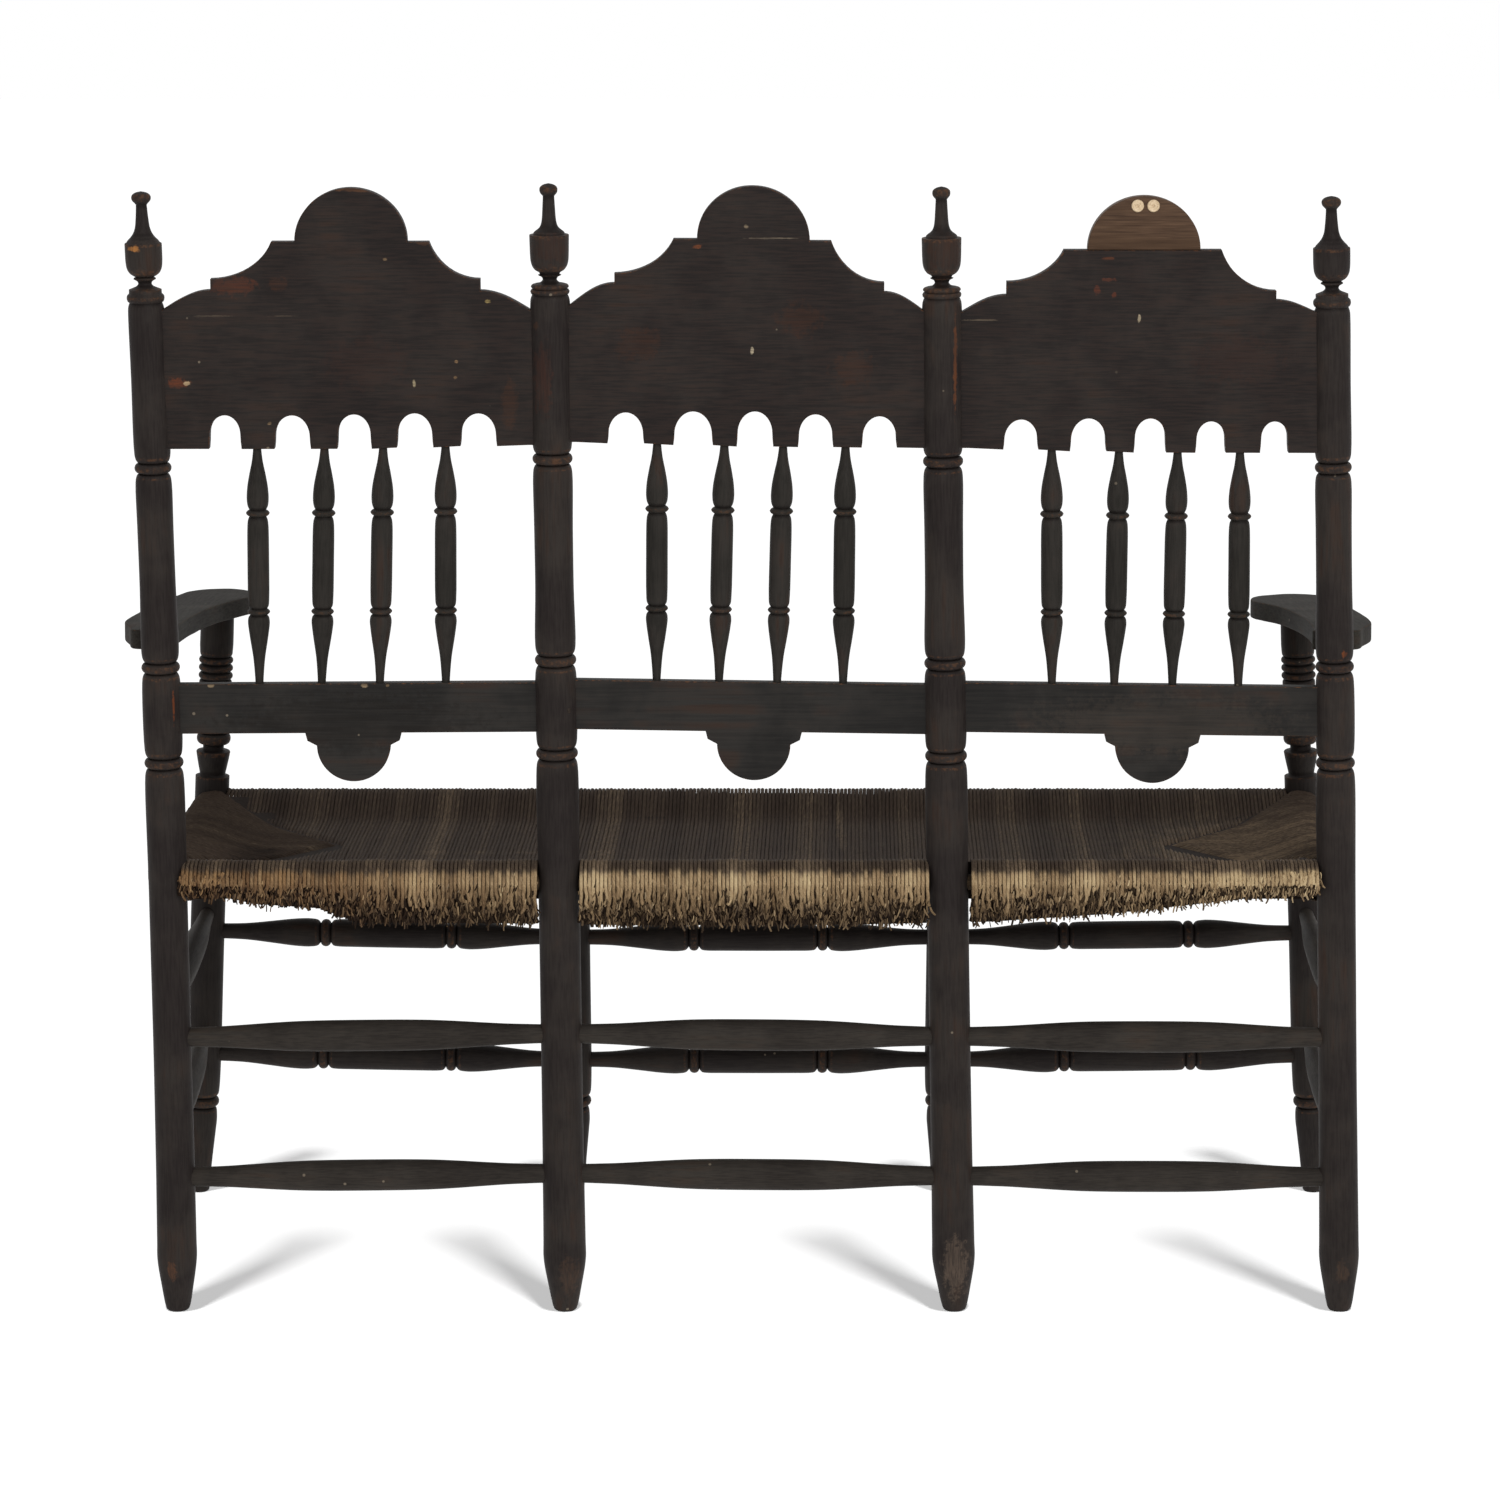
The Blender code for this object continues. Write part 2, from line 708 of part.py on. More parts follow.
def board_ends(index, height):
    """The x of a board's two tips inside the posts at a height, left then right."""
    left, right = rear_axis(index, height).x, rear_axis(index + 1, height).x
    return left - upper_radius(index) + tenon_depth, right + upper_radius(index + 1) - tenon_depth


def cut_board_mortises(index, spans, thickness):
    """Cuts the slots that take the two ends of a board, each from a low to a high height."""
    for post, outward, (low, high) in zip((index, index + 1), (-1.0, 1.0), spans):
        place = back_plane(low)
        middle = 0.5 * (low + high)
        rise = up_rake(high - low)
        axis_x = rear_axis(post, middle).x
        lean = 0.5 * abs(rear_lean_shares[post]) * (high - low)
        tip = axis_x + outward * (upper_radius(post) - tenon_depth - clearance - lean)
        mouth = axis_x + outward * (lower_radius(post) + overrun)
        low_x, high_x = sorted((tip, mouth))
        outline = rectangle(low_x, high_x, -clearance, rise + clearance)
        add_board(mortise_mesh("rear_post_" + rear_names[post]), outline, thickness + 2 * clearance, place)


def board_centre(index, height, shifts):
    return bay_centre(index, height) + shifts[index]


def lift_at(index, lifts, x):
    """How far a board lies off its plain height at x, between its left, middle and right lifts."""
    left, centre, right = lifts[index]
    off = (x - bay_centre(index, crest_bottom)) / (0.5 * bay - inner_lower_radius - overrun)
    return centre + min(1.0, abs(off)) * ((left if off > 0.0 else right) - centre)


def crest_side(index, centre, face, outward):
    """One side of a crest's top edge, from the post: a round shoulder, a step, a hollow to the shelf."""
    side = 1 - int(outward)
    end, shoulder, step, shelf = (
        rise + crest_lifts[level][index][side]
        for level, rise in (
            ("end", crest_end_height), ("shoulder", crest_end_height + step_rise - step_drop),
            ("step", crest_end_height + step_rise), ("shelf", crest_end_height + shelf_rise),
        )
    )
    edge = centre + step_shifts[index] + outward * step_half_width
    corner = centre + shelf_shift + outward * shelf_half_width
    points = []
    for share in shoulder_shares:
        x = face + (edge - face) * share
        points.append((x, end + (shoulder - end) * math.sin(0.5 * math.pi * share)))
    points.append((edge, step))
    for share in hollow_shares:
        angle = hollow_sweep * share
        out = math.sin(angle) / math.sin(hollow_sweep)
        up = (1.0 - math.cos(angle)) / (1.0 - math.cos(hollow_sweep))
        points.append((edge + (corner - edge) * out, step + (shelf - step) * up))
    return points


def arch_points(middle, foot, radius, height):
    """A round-headed arch cut up into a crest's lower edge, a little taller than a half circle."""
    rise = arch_rise_share * radius
    spring = height - rise
    head = [(x, spring + rise * z / radius) for x, z in arc((middle, 0.0), radius, 0.0, 180.0, 6)]
    return [(middle + radius, foot), *head, (middle - radius, foot)]


def crest_outline(index, with_dome):
    """The shaped board, X across and Z up the rake from its lower edge."""
    centre = board_centre(index, crest_bottom, crest_shifts)
    arch_centre = board_centre(index, crest_bottom, arch_shifts)
    left_low, right_low = board_ends(index, crest_bottom)
    left_high, right_high = board_ends(index, crest_end_top)
    left_foot, _, right_foot = crest_lifts["foot"][index]
    left_end, _, right_end = (crest_end_height + lift for lift in crest_lifts["end"][index])
    sunk = tenon_depth + overrun
    points = [(left_low, left_foot), (left_low - sunk, left_foot)]
    for place, place_share in enumerate(arch_place_shares):
        middle = arch_centre + place_share * spindle_spacing
        foot = lift_at(index, crest_lifts["foot"], middle)
        radius = arch_radius * arch_width_shares[index][place]
        points += arch_points(middle, foot, radius, arch_height * arch_height_shares[index][place])
    points += [(right_low + sunk, right_foot), (right_low, right_foot), (right_high, right_end)]
    right_face = rear_axis(index + 1, crest_end_top).x + upper_radius(index + 1)
    left_face = rear_axis(index, crest_end_top).x - upper_radius(index)
    points += crest_side(index, centre, right_face, -1.0)
    if with_dome:
        level = crest_end_height + shelf_rise
        left_shelf, _, right_shelf = (level + lift for lift in crest_lifts["shelf"][index])
        for x, z in arc((0.0, 0.0), dome_radius, 180.0, 0.0, arc_steps):
            off = 0.5 * x / dome_radius
            shelf = 0.5 * (left_shelf + right_shelf) + off * (left_shelf - right_shelf)
            points.append((centre + x, shelf + dome_height * z / dome_radius))
    points += reversed(crest_side(index, centre, left_face, 1.0))
    points.append((left_high, left_end))
    return [(x, up_rake(z)) for x, z in points]


def spindle_line(index, place):
    """A spindle's middle line: its foot on the stay rail and its top under the crest."""
    foot_x = board_centre(index, stay_top, spindle_foot_shifts)
    foot_x += spindle_foot_shares[place] * spindle_spacing
    top_x = board_centre(index, crest_bottom, arch_shifts) + spindle_top_shares[place] * spindle_spacing
    foot_height = stay_top + lift_at(index, stay_lifts, foot_x)
    top_height = crest_bottom + lift_at(index, crest_lifts["foot"], top_x)
    ends = ((foot_x, foot_height), (top_x, top_height))
    return [Vector((x, rear_rake_share * height, height)) for x, height in ends]


def spindle_sockets(index, from_top):
    """Holes for the four spindle tenons of a bay, in its crest or in its stay rail."""
    bm = bmesh.new()
    for place in range(4):
        foot, top = spindle_line(index, place)
        inward = (top - foot).normalized() * (1.0 if from_top else -1.0)
        mouth = top if from_top else foot
        start = mouth - inward * overrun
        end = mouth + inward * (tenon_depth + clearance)
        add_cylinder(bm, start, end, spindle_tenon_radius + clearance, spindle_sides)
    return bm


crests = []
for index, bay_name in enumerate(bay_names):
    bm = bmesh.new()
    outline = crest_outline(index, bay_name != "right")
    add_board(bm, outline, crest_thickness, back_plane(crest_bottom))
    crest = object_from(bm, "crest_rail_" + bay_name, (black_paint, 0.5))
    crests.append(crest)
    feet, ends = crest_lifts["foot"][index], crest_lifts["end"][index]
    spans = [(crest_bottom + feet[side], crest_end_top + ends[side]) for side in (0, 2)]
    cut_board_mortises(index, spans, crest_thickness)
    trim(crest, object_from(spindle_sockets(index, True), f"cutter_crest_sockets_{bay_name}"))


def stay_outline(index):
    """The stay rail with its half-round drop, X across and Z up the rake from its lower edge."""
    centre = board_centre(index, stay_bottom, drop_shifts)
    left_low, right_low = board_ends(index, stay_bottom)
    left_high, right_high = board_ends(index, stay_top)
    hub = drop_radius - drop_depth
    sunk = tenon_depth + overrun
    points = [(left_high - sunk, stay_height), (left_high, stay_height)]
    points += [(left_low, 0.0), (left_low - sunk, 0.0), (centre + drop_half_width, 0.0)]
    points.append((centre + drop_half_width - 0.25 * drop_shoulder_depth, -drop_shoulder_depth))
    points += arc((centre, hub), drop_radius, 0.0, -180.0, arc_steps)
    points.append((centre - drop_half_width + 0.25 * drop_shoulder_depth, -drop_shoulder_depth))
    points += [(centre - drop_half_width, 0.0), (right_low + sunk, 0.0), (right_low, 0.0)]
    points += [(right_high, stay_height), (right_high + sunk, stay_height)]
    return [(x, up_rake(z + lift_at(index, stay_lifts, x))) for x, z in points]


for index, bay_name in enumerate(bay_names):
    bm = bmesh.new()
    add_board(bm, stay_outline(index), stay_thickness, back_plane(stay_bottom))
    stay = object_from(bm, "stay_rail_" + bay_name, (black_paint, 0.5))
    spans = [(stay_bottom + stay_lifts[index][side], stay_top + stay_lifts[index][side]) for side in (0, 2)]
    cut_board_mortises(index, spans, stay_thickness)
    trim(stay, object_from(spindle_sockets(index, False), f"cutter_stay_sockets_{bay_name}"))


def stay_peg(post, outward, side):
    """A peg driven from behind through the post and a tenon of the middle stay rail."""
    height = 0.5 * (stay_bottom + stay_top) + peg_rises[post]
    behind = back_plane(height).to_3x3() @ Vector((0.0, 1.0, 0.0))
    from_axis = upper_radius(post) - tenon_depth + peg_from_tenon_tip
    middle = rear_axis(post, height) + Vector((outward * from_axis, 0.0, 0.0))
    face = math.sqrt(lower_radius(post) ** 2 - (from_axis + peg_radius) ** 2)
    outer_end = middle + behind * (face - 2 * clearance)
    inner_end = outer_end - behind * peg_length
    bm = bmesh.new()
    add_cylinder(bm, inner_end, outer_end, peg_radius, spindle_sides)
    object_from(bm, "peg_stay_" + side, (bare_wood, 0.6))
    bore = (inner_end - behind * clearance, middle + behind * (lower_radius(post) + overrun))
    post_hole = mortise_mesh("rear_post_" + rear_names[post] + "_peg")
    tenon_hole = bmesh.new()
    for hole in (post_hole, tenon_hole):
        add_cylinder(hole, *bore, peg_radius + clearance, spindle_sides)
    trim(bpy.data.objects["stay_rail_centre"], object_from(tenon_hole, "cutter_stay_peg_" + side))


stay_peg(1, -1.0, "left")
stay_peg(2, 1.0, "right")

for index, bay_name in enumerate(bay_names):
    for place in range(4):
        foot, top = spindle_line(index, place)
        length = (top - foot).length
        direction = (top - foot).normalized()
        start = foot - direction * tenon_depth
        end = top + direction * tenon_depth
        rings = [(0.0, spindle_tenon_radius)]
        for share, out in reversed(spindle_shares):
            rings.append((tenon_depth + length * (1.0 - share), spindle_radius * out))
        rings.append(((end - start).length, spindle_tenon_radius))
        bm = bmesh.new()
        add_rod(bm, start, end, rings, spindle_sides)
        object_from(bm, f"spindle_{bay_name}_{place + 1}", (black_paint, 0.45))

# The replaced dome of the right crest, with its dowels and two small discs
lobe_base = crest_end_height + shelf_rise + crest_lifts["shelf"][2][1]
lobe_centre = board_centre(2, crest_bottom, crest_shifts)
lobe_place = back_plane(crest_bottom)
bm = bmesh.new()
rim = arc((lobe_centre, 0.0), dome_radius, 180.0, 0.0, 2 * arc_steps)
outline = [(x, up_rake(lobe_base + clearance + z * dome_height / dome_radius)) for x, z in rim]
add_board(bm, outline, crest_thickness, lobe_place)
lobe = object_from(bm, "crest_lobe_right", (bare_wood, 0.5))
dowels, dowel_holes = bmesh.new(), bmesh.new()
for side in (-0.5, 0.5):
    x = lobe_centre + side * lobe_dowel_spacing
    for bm, extra in ((dowels, 0.0), (dowel_holes, clearance)):
        low = lobe_place @ Vector((x, 0.0, up_rake(lobe_base) - lobe_dowel_length - extra))
        high = lobe_place @ Vector((x, 0.0, up_rake(lobe_base) + overrun))
        add_cylinder(bm, low, high, lobe_dowel_radius + extra, spindle_sides)
trim(lobe, object_from(dowels, "lobe_dowels"), "UNION")
trim(crests[2], object_from(dowel_holes, "cutter_lobe_dowels"))

disc_holes = bmesh.new()
for side, name in ((0.5, "left"), (-0.5, "right")):
    x = lobe_centre - disc_offset + side * disc_spacing
    z = up_rake(lobe_base + dome_height - disc_below_top)
    face = 0.5 * crest_thickness
    inner, outer = (lobe_place @ Vector((x, y, z)) for y in (face - disc_pin_length, face + disc_thickness))
    bm = bmesh.new()
    pin = disc_pin_length + clearance
    body = disc_pin_length + disc_thickness
    rings = ((0.0, disc_pin_radius), (pin, disc_pin_radius), (pin, disc_radius), (body, 0.93 * disc_radius))
    add_rod(bm, inner, outer, rings, post_sides)
    object_from(bm, "lobe_disc_" + name, (bone_white, 0.4))
    bore = [lobe_place @ Vector((x, y, z)) for y in (face - disc_pin_length - clearance, face + overrun)]
    add_cylinder(disc_holes, *bore, disc_pin_radius + clearance, spindle_sides)
trim(lobe, object_from(disc_holes, "cutter_disc_pins"))


# Arms, scribed to the rear posts and sitting on the front posts' tenons
def arm_outline(post, rear, front):
    """The arm's outline in plan, from the rear post to just past the front post."""
    outward = math.copysign(1.0, 1.5 - post)
    length = (front - rear).length + arm_overhang - arm_scribe_depth
    direction = (front - rear).normalized()
    across = Vector((outward, 0.0))
    points = []
    for share, out in arm_outline_shares:
        reach = out * (arm_outer_reach if out > 0.0 else arm_inner_reaches[post])
        points.append(rear + direction * (arm_scribe_depth + share * length) + across * reach)
    return smooth_closed(points, outline_steps)


for post, side in side_names.items():
    under, top = arm_joint(post)
    rear = rear_axis(post, arm_heights[post])
    front = front_axis(post, top)
    outline = arm_outline(post, rear.xy, front.xy)
    bm = bmesh.new()
    layers = []
    for drop in (arm_thickness, 0.0):
        heights = [arm_top(post, point.y) - drop for point in outline]
        layers.append([bm.verts.new((*point, height)) for point, height in zip(outline, heights)])
    lower, upper = layers
    bm.faces.new(lower)
    bm.faces.new(list(reversed(upper)))
    for index in range(len(lower)):
        following = (index + 1) % len(lower)
        bm.faces.new((lower[index], upper[index], upper[following], lower[following]))
    arm = object_from(bm, "arm_" + side, (black_paint, 0.5))

    bm = bmesh.new()
    ends = [rear_axis(post, arm_heights[post] + side * 2 * arm_thickness) for side in (-1, 1)]
    add_bore(bm, *ends, lower_radius(post), post_sides)
    trim(arm, object_from(bm, "cutter_scribe_" + side))

    bm = bmesh.new()
    ends = (front_axis(post, under - overrun), front_axis(post, top + overrun))
    add_bore(bm, *ends, arm_tenon_radius, post_sides)
    trim(arm, object_from(bm, "cutter_arm_hole_" + side))

    middle = rear_axis(post, arm_top(post, rear.y) - 0.5 * arm_thickness)
    far = front_axis(post, top - 0.5 * arm_thickness)
    direction = (far - middle).normalized()
    tip = upper_radius(post) - tenon_depth
    bm = bmesh.new()
    root = lower_radius(post) + arm_scribe_depth
    ends = (middle + direction * tip, middle + direction * root)
    add_cylinder(bm, *ends, arm_rear_tenon_radius, spindle_sides)
    trim(arm, object_from(bm, "arm_tenon_" + side), "UNION")
    post_name = "rear_post_" + rear_names[post]
    add_mortise(post_name, middle, direction, arm_rear_tenon_radius, tip, upper_radius(post), spindle_sides)

# The mortises, cut in each post in one pass
for name, bm in mortises.items():
    trim(bpy.data.objects[name.removesuffix("_peg")], object_from(bm, "cutter_" + name))

# The origin stands on the floor, in the middle of the whole piece
bpy.context.view_layer.update()
graph = bpy.context.evaluated_depsgraph_get()
pieces = [piece.evaluated_get(graph) for piece in settee.children if not piece.hide_render]
corners = [Vector(corner) for piece in pieces for corner in piece.bound_box]
for axis in (0, 1):
    spread = [corner[axis] for corner in corners]
    settee.location[axis] = -0.5 * (min(spread) + max(spread))
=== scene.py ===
import json
import math
import random

import bpy
from mathutils import Matrix, Vector, geometry, noise

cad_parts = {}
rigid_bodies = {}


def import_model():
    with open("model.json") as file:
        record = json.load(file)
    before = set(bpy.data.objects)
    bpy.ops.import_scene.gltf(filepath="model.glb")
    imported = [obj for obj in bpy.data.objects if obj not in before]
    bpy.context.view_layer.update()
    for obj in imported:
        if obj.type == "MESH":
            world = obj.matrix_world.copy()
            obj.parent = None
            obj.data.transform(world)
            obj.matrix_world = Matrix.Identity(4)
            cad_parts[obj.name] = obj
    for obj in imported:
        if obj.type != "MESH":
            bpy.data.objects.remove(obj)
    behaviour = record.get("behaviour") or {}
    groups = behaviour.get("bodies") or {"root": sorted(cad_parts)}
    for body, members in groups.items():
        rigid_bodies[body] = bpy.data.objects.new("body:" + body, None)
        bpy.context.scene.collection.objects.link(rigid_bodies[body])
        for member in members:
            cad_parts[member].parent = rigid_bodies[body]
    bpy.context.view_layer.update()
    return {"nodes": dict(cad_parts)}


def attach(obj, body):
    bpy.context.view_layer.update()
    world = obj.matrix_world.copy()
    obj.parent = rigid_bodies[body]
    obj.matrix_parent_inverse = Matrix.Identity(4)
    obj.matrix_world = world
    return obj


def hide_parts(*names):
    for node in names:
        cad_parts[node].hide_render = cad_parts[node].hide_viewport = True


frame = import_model()
scene = bpy.context.scene
print("frame loaded:", len(frame["nodes"]), "nodes")


# materials: small helpers
def linear(code):
    channels = [int(code[i:i + 2], 16) / 255 for i in (1, 3, 5)]
    return tuple(c / 12.92 if c <= 0.04045 else ((c + 0.055) / 1.055) ** 2.4 for c in channels) + (1.0,)


def feed(tree, node, inputs):
    for key, value in inputs.items():
        if isinstance(value, bpy.types.NodeSocket):
            tree.links.new(value, node.inputs[key])
        else:
            node.inputs[key].default_value = value


def addNode(tree, kind, inputs=None, stops=(), **settings):
    node = tree.nodes.new(kind)
    for key, value in settings.items():
        setattr(node, key, value)
    feed(tree, node, inputs or {})
    for index, (place, colour) in enumerate(stops):
        ramp = node.color_ramp.elements
        if index >= 2:
            ramp.new(place)
        ramp[index].position = place
        ramp[index].color = linear(colour)
    return node


def newMaterial(name):
    made = bpy.data.materials.new(name)
    made.use_nodes = True
    return made, made.node_tree, made.node_tree.nodes["Principled BSDF"]


# Old black paint on turned and sawn wood, rubbed thin by hands and years.
# To the eye: nearly black, dull satin, brown where the wood shows through, fine grain lines in it.
def agedPaint(name, look):
    made, tree, shader = newMaterial(name)
    place = addNode(tree, "ShaderNodeAttribute", attribute_name="grainAt").outputs["Vector"]
    wear, grooveShade = (addNode(tree, "ShaderNodeAttribute", attribute_name=key).outputs["Fac"]
                  for key in ("wear", "grooveShade"))
    world = addNode(tree, "ShaderNodeTexCoord").outputs["Object"]
    along = addNode(tree, "ShaderNodeVectorMath", {0: place, 1: (1.0, 1.0, look["stretch"])},
                    operation="MULTIPLY").outputs[0]
    # grain lines, long streaks and breaks along the grain; broad patches, fine grit and torn rims anywhere
    grain, long, broken, broad, fine, torn = (
        addNode(tree, "ShaderNodeTexNoise", {"Vector": vector, "Scale": 1 / width, "Detail": detail,
                                             "Roughness": roughness}).outputs["Fac"]
        for vector, width, detail, roughness in (
            (along, look["grainWidth"], 4.0, 0.60), (along, look["streakWidth"], 3.0, 0.50),
            (along, look["breakWidth"], 4.0, 0.70), (place, look["patchWidth"], 4.0, 0.60),
            (place, look["speckWidth"], 3.0, 0.65), (place, look["rubWidth"], 5.0, 0.70)))
    chips = addNode(tree, "ShaderNodeTexVoronoi", {"Vector": place, "Scale": 1 / look["chipSpacing"]})
    picked = addNode(tree, "ShaderNodeSeparateColor", {0: chips.outputs["Color"]}).outputs[0]
    back = addNode(tree, "ShaderNodeVectorMath", {0: world, 1: (0.0, 1.0, -look["rake"])},
                   operation="DOT_PRODUCT").outputs["Value"]
    edge = addNode(tree, "ShaderNodeMath", {0: wear, 1: fine}, operation="MULTIPLY").outputs[0]
    # each goes softly from 0 to 1 between two values
    patch, thin, streak, light, deep, behind, worn, bare, small, few = (
        addNode(tree, "ShaderNodeMapRange", {"Value": value, "From Min": low, "From Max": high},
                interpolation_type="SMOOTHSTEP").outputs[0]
        for value, low, high in (
            (broad, 0.38, 0.64), (broad, 0.50, 0.70), (long, 0.42, 0.62), (grain, 0.40, 0.64), (grain, 0.52, 0.34),
            (back, look["rear"], look["rear"] + 0.0015), (edge, 0.34, 0.56), (edge, 0.50, 0.62),
            (chips.outputs["Distance"], 0.085, 0.05), (picked, 0.86, 0.88)))
    chip = addNode(tree, "ShaderNodeMath", {0: small, 1: few}, operation="MULTIPLY").outputs[0]

    # what lies over the dark paint, from below: the shares to multiply, and the colour
    layers = [((patch,), look["grey"]), ((thin, streak, look["thinShare"]), look["brown"]),
              ((light, look["grainShare"]), look["light"]), ((deep, look["grainShare"]), look["deep"])]
    broken = addNode(tree, "ShaderNodeMapRange", {"Value": broken, "From Min": 0.40, "From Max": 0.62,
                                                  "To Min": 0.35}).outputs[0]
    torn = addNode(tree, "ShaderNodeMath", {0: torn, 1: 1.4}, operation="MULTIPLY").outputs[0]
    for x, z, wide, high, share, code in look.get("spots", ()):
        # rubbed places and chips on the side seen from behind
        offset = addNode(tree, "ShaderNodeVectorMath", {0: world, 1: (x, 0.0, z)}, operation="SUBTRACT").outputs[0]
        scaled = addNode(tree, "ShaderNodeVectorMath", {0: offset, 1: (1 / wide, 0.0, 1 / high)},
                         operation="MULTIPLY").outputs[0]
        far = addNode(tree, "ShaderNodeVectorMath", {0: scaled}, operation="LENGTH").outputs["Value"]
        ragged = addNode(tree, "ShaderNodeMath", {0: far, 1: torn}, operation="ADD").outputs[0]
        spot = addNode(tree, "ShaderNodeMapRange", {"Value": ragged, "From Min": 1.30, "From Max": 1.02},
                       interpolation_type="SMOOTHSTEP").outputs[0]
        layers.append(((spot, share, behind, broken), code))
    # worn edges and chips, and last the painted shade that darkens the grooves of the turnings
    layers += [((worn, look["wearShare"]), look["worn"]), ((bare, look["wearShare"]), look["bare"]),
               ((chip, look["chipShare"]), look["pale"]), ((grooveShade, look["grooveShadeShare"]), look["deep"])]
    colour = linear(look["dark"])
    for (share, *others), code in layers:
        for other in others:
            share = addNode(tree, "ShaderNodeMath", {0: share, 1: other}, operation="MULTIPLY").outputs[0]
        colour = addNode(tree, "ShaderNodeMix", {0: share, 6: colour, 7: linear(code)},
                         data_type="RGBA").outputs[2]

    rough = addNode(tree, "ShaderNodeMapRange", {"Value": fine, "To Min": look["roughness"] - 0.08,
                                                 "To Max": look["roughness"] + 0.10}).outputs[0]
    height = 0.0
    for value, share in ((grain, 0.6), (fine, 0.4), (chip, -0.8)):
        height = addNode(tree, "ShaderNodeMath", {0: value, 1: share, 2: height},
                         operation="MULTIPLY_ADD").outputs[0]
    bump = addNode(tree, "ShaderNodeBump", {"Height": height, "Strength": look["bump"], "Distance": 0.0006})
    feed(tree, shader, {"Base Color": colour, "Roughness": rough, "Specular IOR Level": look["specular"],
                        "Normal": bump.outputs[0]})
    return made


def paintGrain(width):
    # grain lines this wide, drawn a little coarser than real so that they show; streaks and breaks go with them
    return {"grainWidth": width, "streakWidth": width / 0.22, "breakWidth": width / 0.8}


# widths and spacings are in metres
paintLook = {
    "dark": "#262120", "grey": "#312c29", "brown": "#3b2920", "light": "#3b3632", "deep": "#181413",
    "worn": "#5a3d2a", "bare": "#8a5c38", "pale": "#8f8270", **paintGrain(0.0016),
    "stretch": 0.06, "patchWidth": 0.085, "speckWidth": 0.004, "chipSpacing": 0.022,
    # the last share on this line sets how dark the painted shade in the grooves is
    "thinShare": 0.55, "grainShare": 0.30, "wearShare": 0.14, "chipShare": 0.5, "grooveShadeShare": 0.65,
    "roughness": 0.50, "specular": 0.05, "bump": 0.25,
    # spots lie on the side seen from behind: the back's slope, and how far back they start
    "rake": 0.0437, "rear": 0.2085, "rubWidth": 0.007,
}
# each spot: x, z, half width, half height, strength, colour
postPaint = agedPaint("agedBlackPaintOnTurnedPosts", {
    **paintLook, "grainShare": 0.2,
    "spots": (
        (0.208, 0.972, 0.018, 0.070, 0.5, "#452b22"), (-0.200, 0.987, 0.0036, 0.090, 0.7, "#6a3f26"),
        (0.5818, 0.640, 0.0024, 0.030, 0.8, "#6e3a20"), (-0.592, 0.694, 0.006, 0.008, 0.9, "#7c4424"),
        (0.608, 1.100, 0.014, 0.006, 1.0, "#a06c3c"), (0.200, 1.100, 0.034, 0.034, 0.4, "#3f281e"),
        (-0.190, 1.097, 0.034, 0.034, 0.4, "#3f281e"), (0.214, 1.024, 0.006, 0.008, 0.6, "#4a3224"),
        (0.598, 0.046, 0.010, 0.022, 0.5, "#6a4630"), (0.188, 0.042, 0.022, 0.040, 0.35, "#5a4436"),
        (-0.209, 0.050, 0.026, 0.060, 0.85, "#5a4d43"), (-0.607, 0.046, 0.012, 0.024, 0.35, "#5c4636"),
    ),
})
# the crest boards: browner, with more wood showing at the edges
crestPaint = agedPaint("agedBlackPaintOnSawnBoards", {
    **paintLook, **paintGrain(0.0018), "dark": "#252120", "grey": "#2d2927", "light": "#3f302a", "grainShare": 0.24,
    "thinShare": 0.45, "wearShare": 0.40, "worn": "#4a3324", "bare": "#7a4a2c",
    "spots": (
        (0.386, 1.159, 0.060, 0.006, 0.5, "#6e4a32"), (0.513, 1.063, 0.044, 0.018, 0.50, "#5e3424"),
        (0.469, 1.065, 0.020, 0.012, 0.30, "#563626"), (0.325, 1.106, 0.018, 0.005, 0.6, "#543a2a"),
        (0.262, 1.048, 0.006, 0.004, 1.0, "#9c8858"), (0.535, 1.033, 0.042, 0.0016, 0.35, "#6c5f50"),
        (0.464, 1.033, 0.024, 0.0014, 0.30, "#6c5f50"), (0.570, 0.966, 0.018, 0.010, 0.65, "#703c26"),
        (0.562, 0.966, 0.006, 0.004, 1.0, "#b8a07c"), (0.336, 0.966, 0.0030, 0.009, 1.0, "#b0a080"),
        (0.294, 0.988, 0.004, 0.003, 0.9, "#8a6e50"), (0.295, 0.972, 0.0035, 0.003, 0.8, "#8a6e50"),
        (0.363, 1.089, 0.004, 0.003, 0.8, "#8a7256"), (0.480, 0.926, 0.004, 0.003, 0.8, "#8a7256"),
        (0.241, 0.946, 0.016, 0.050, 0.5, "#452e22"), (0.055, 1.102, 0.008, 0.006, 0.9, "#704028"),
        (0.007, 1.122, 0.005, 0.004, 0.9, "#7a6c58"), (-0.021, 1.110, 0.052, 0.0014, 0.55, "#7c705f"),
        (0.001, 0.999, 0.0030, 0.007, 1.0, "#b0a289"), (-0.046, 1.030, 0.044, 0.032, 0.5, "#402a20"),
        (0.114, 1.006, 0.044, 0.034, 0.5, "#402a20"), (-0.100, 0.980, 0.042, 0.034, 0.5, "#402a20"),
        (0.385, 0.985, 0.080, 0.050, 0.35, "#3a2822"), (-0.480, 0.990, 0.090, 0.050, 0.35, "#3a2822"),
        (-0.352, 1.069, 0.013, 0.004, 0.6, "#74402c"), (-0.340, 1.059, 0.006, 0.009, 0.6, "#6a3826"),
        (-0.357, 1.054, 0.005, 0.006, 0.5, "#6a3826"), (-0.351, 1.090, 0.011, 0.003, 0.7, "#704028"),
        (-0.226, 1.029, 0.036, 0.0016, 0.5, "#7c6e5c"), (-0.382, 1.031, 0.0028, 0.008, 1.0, "#a8997f"),
    ),
})
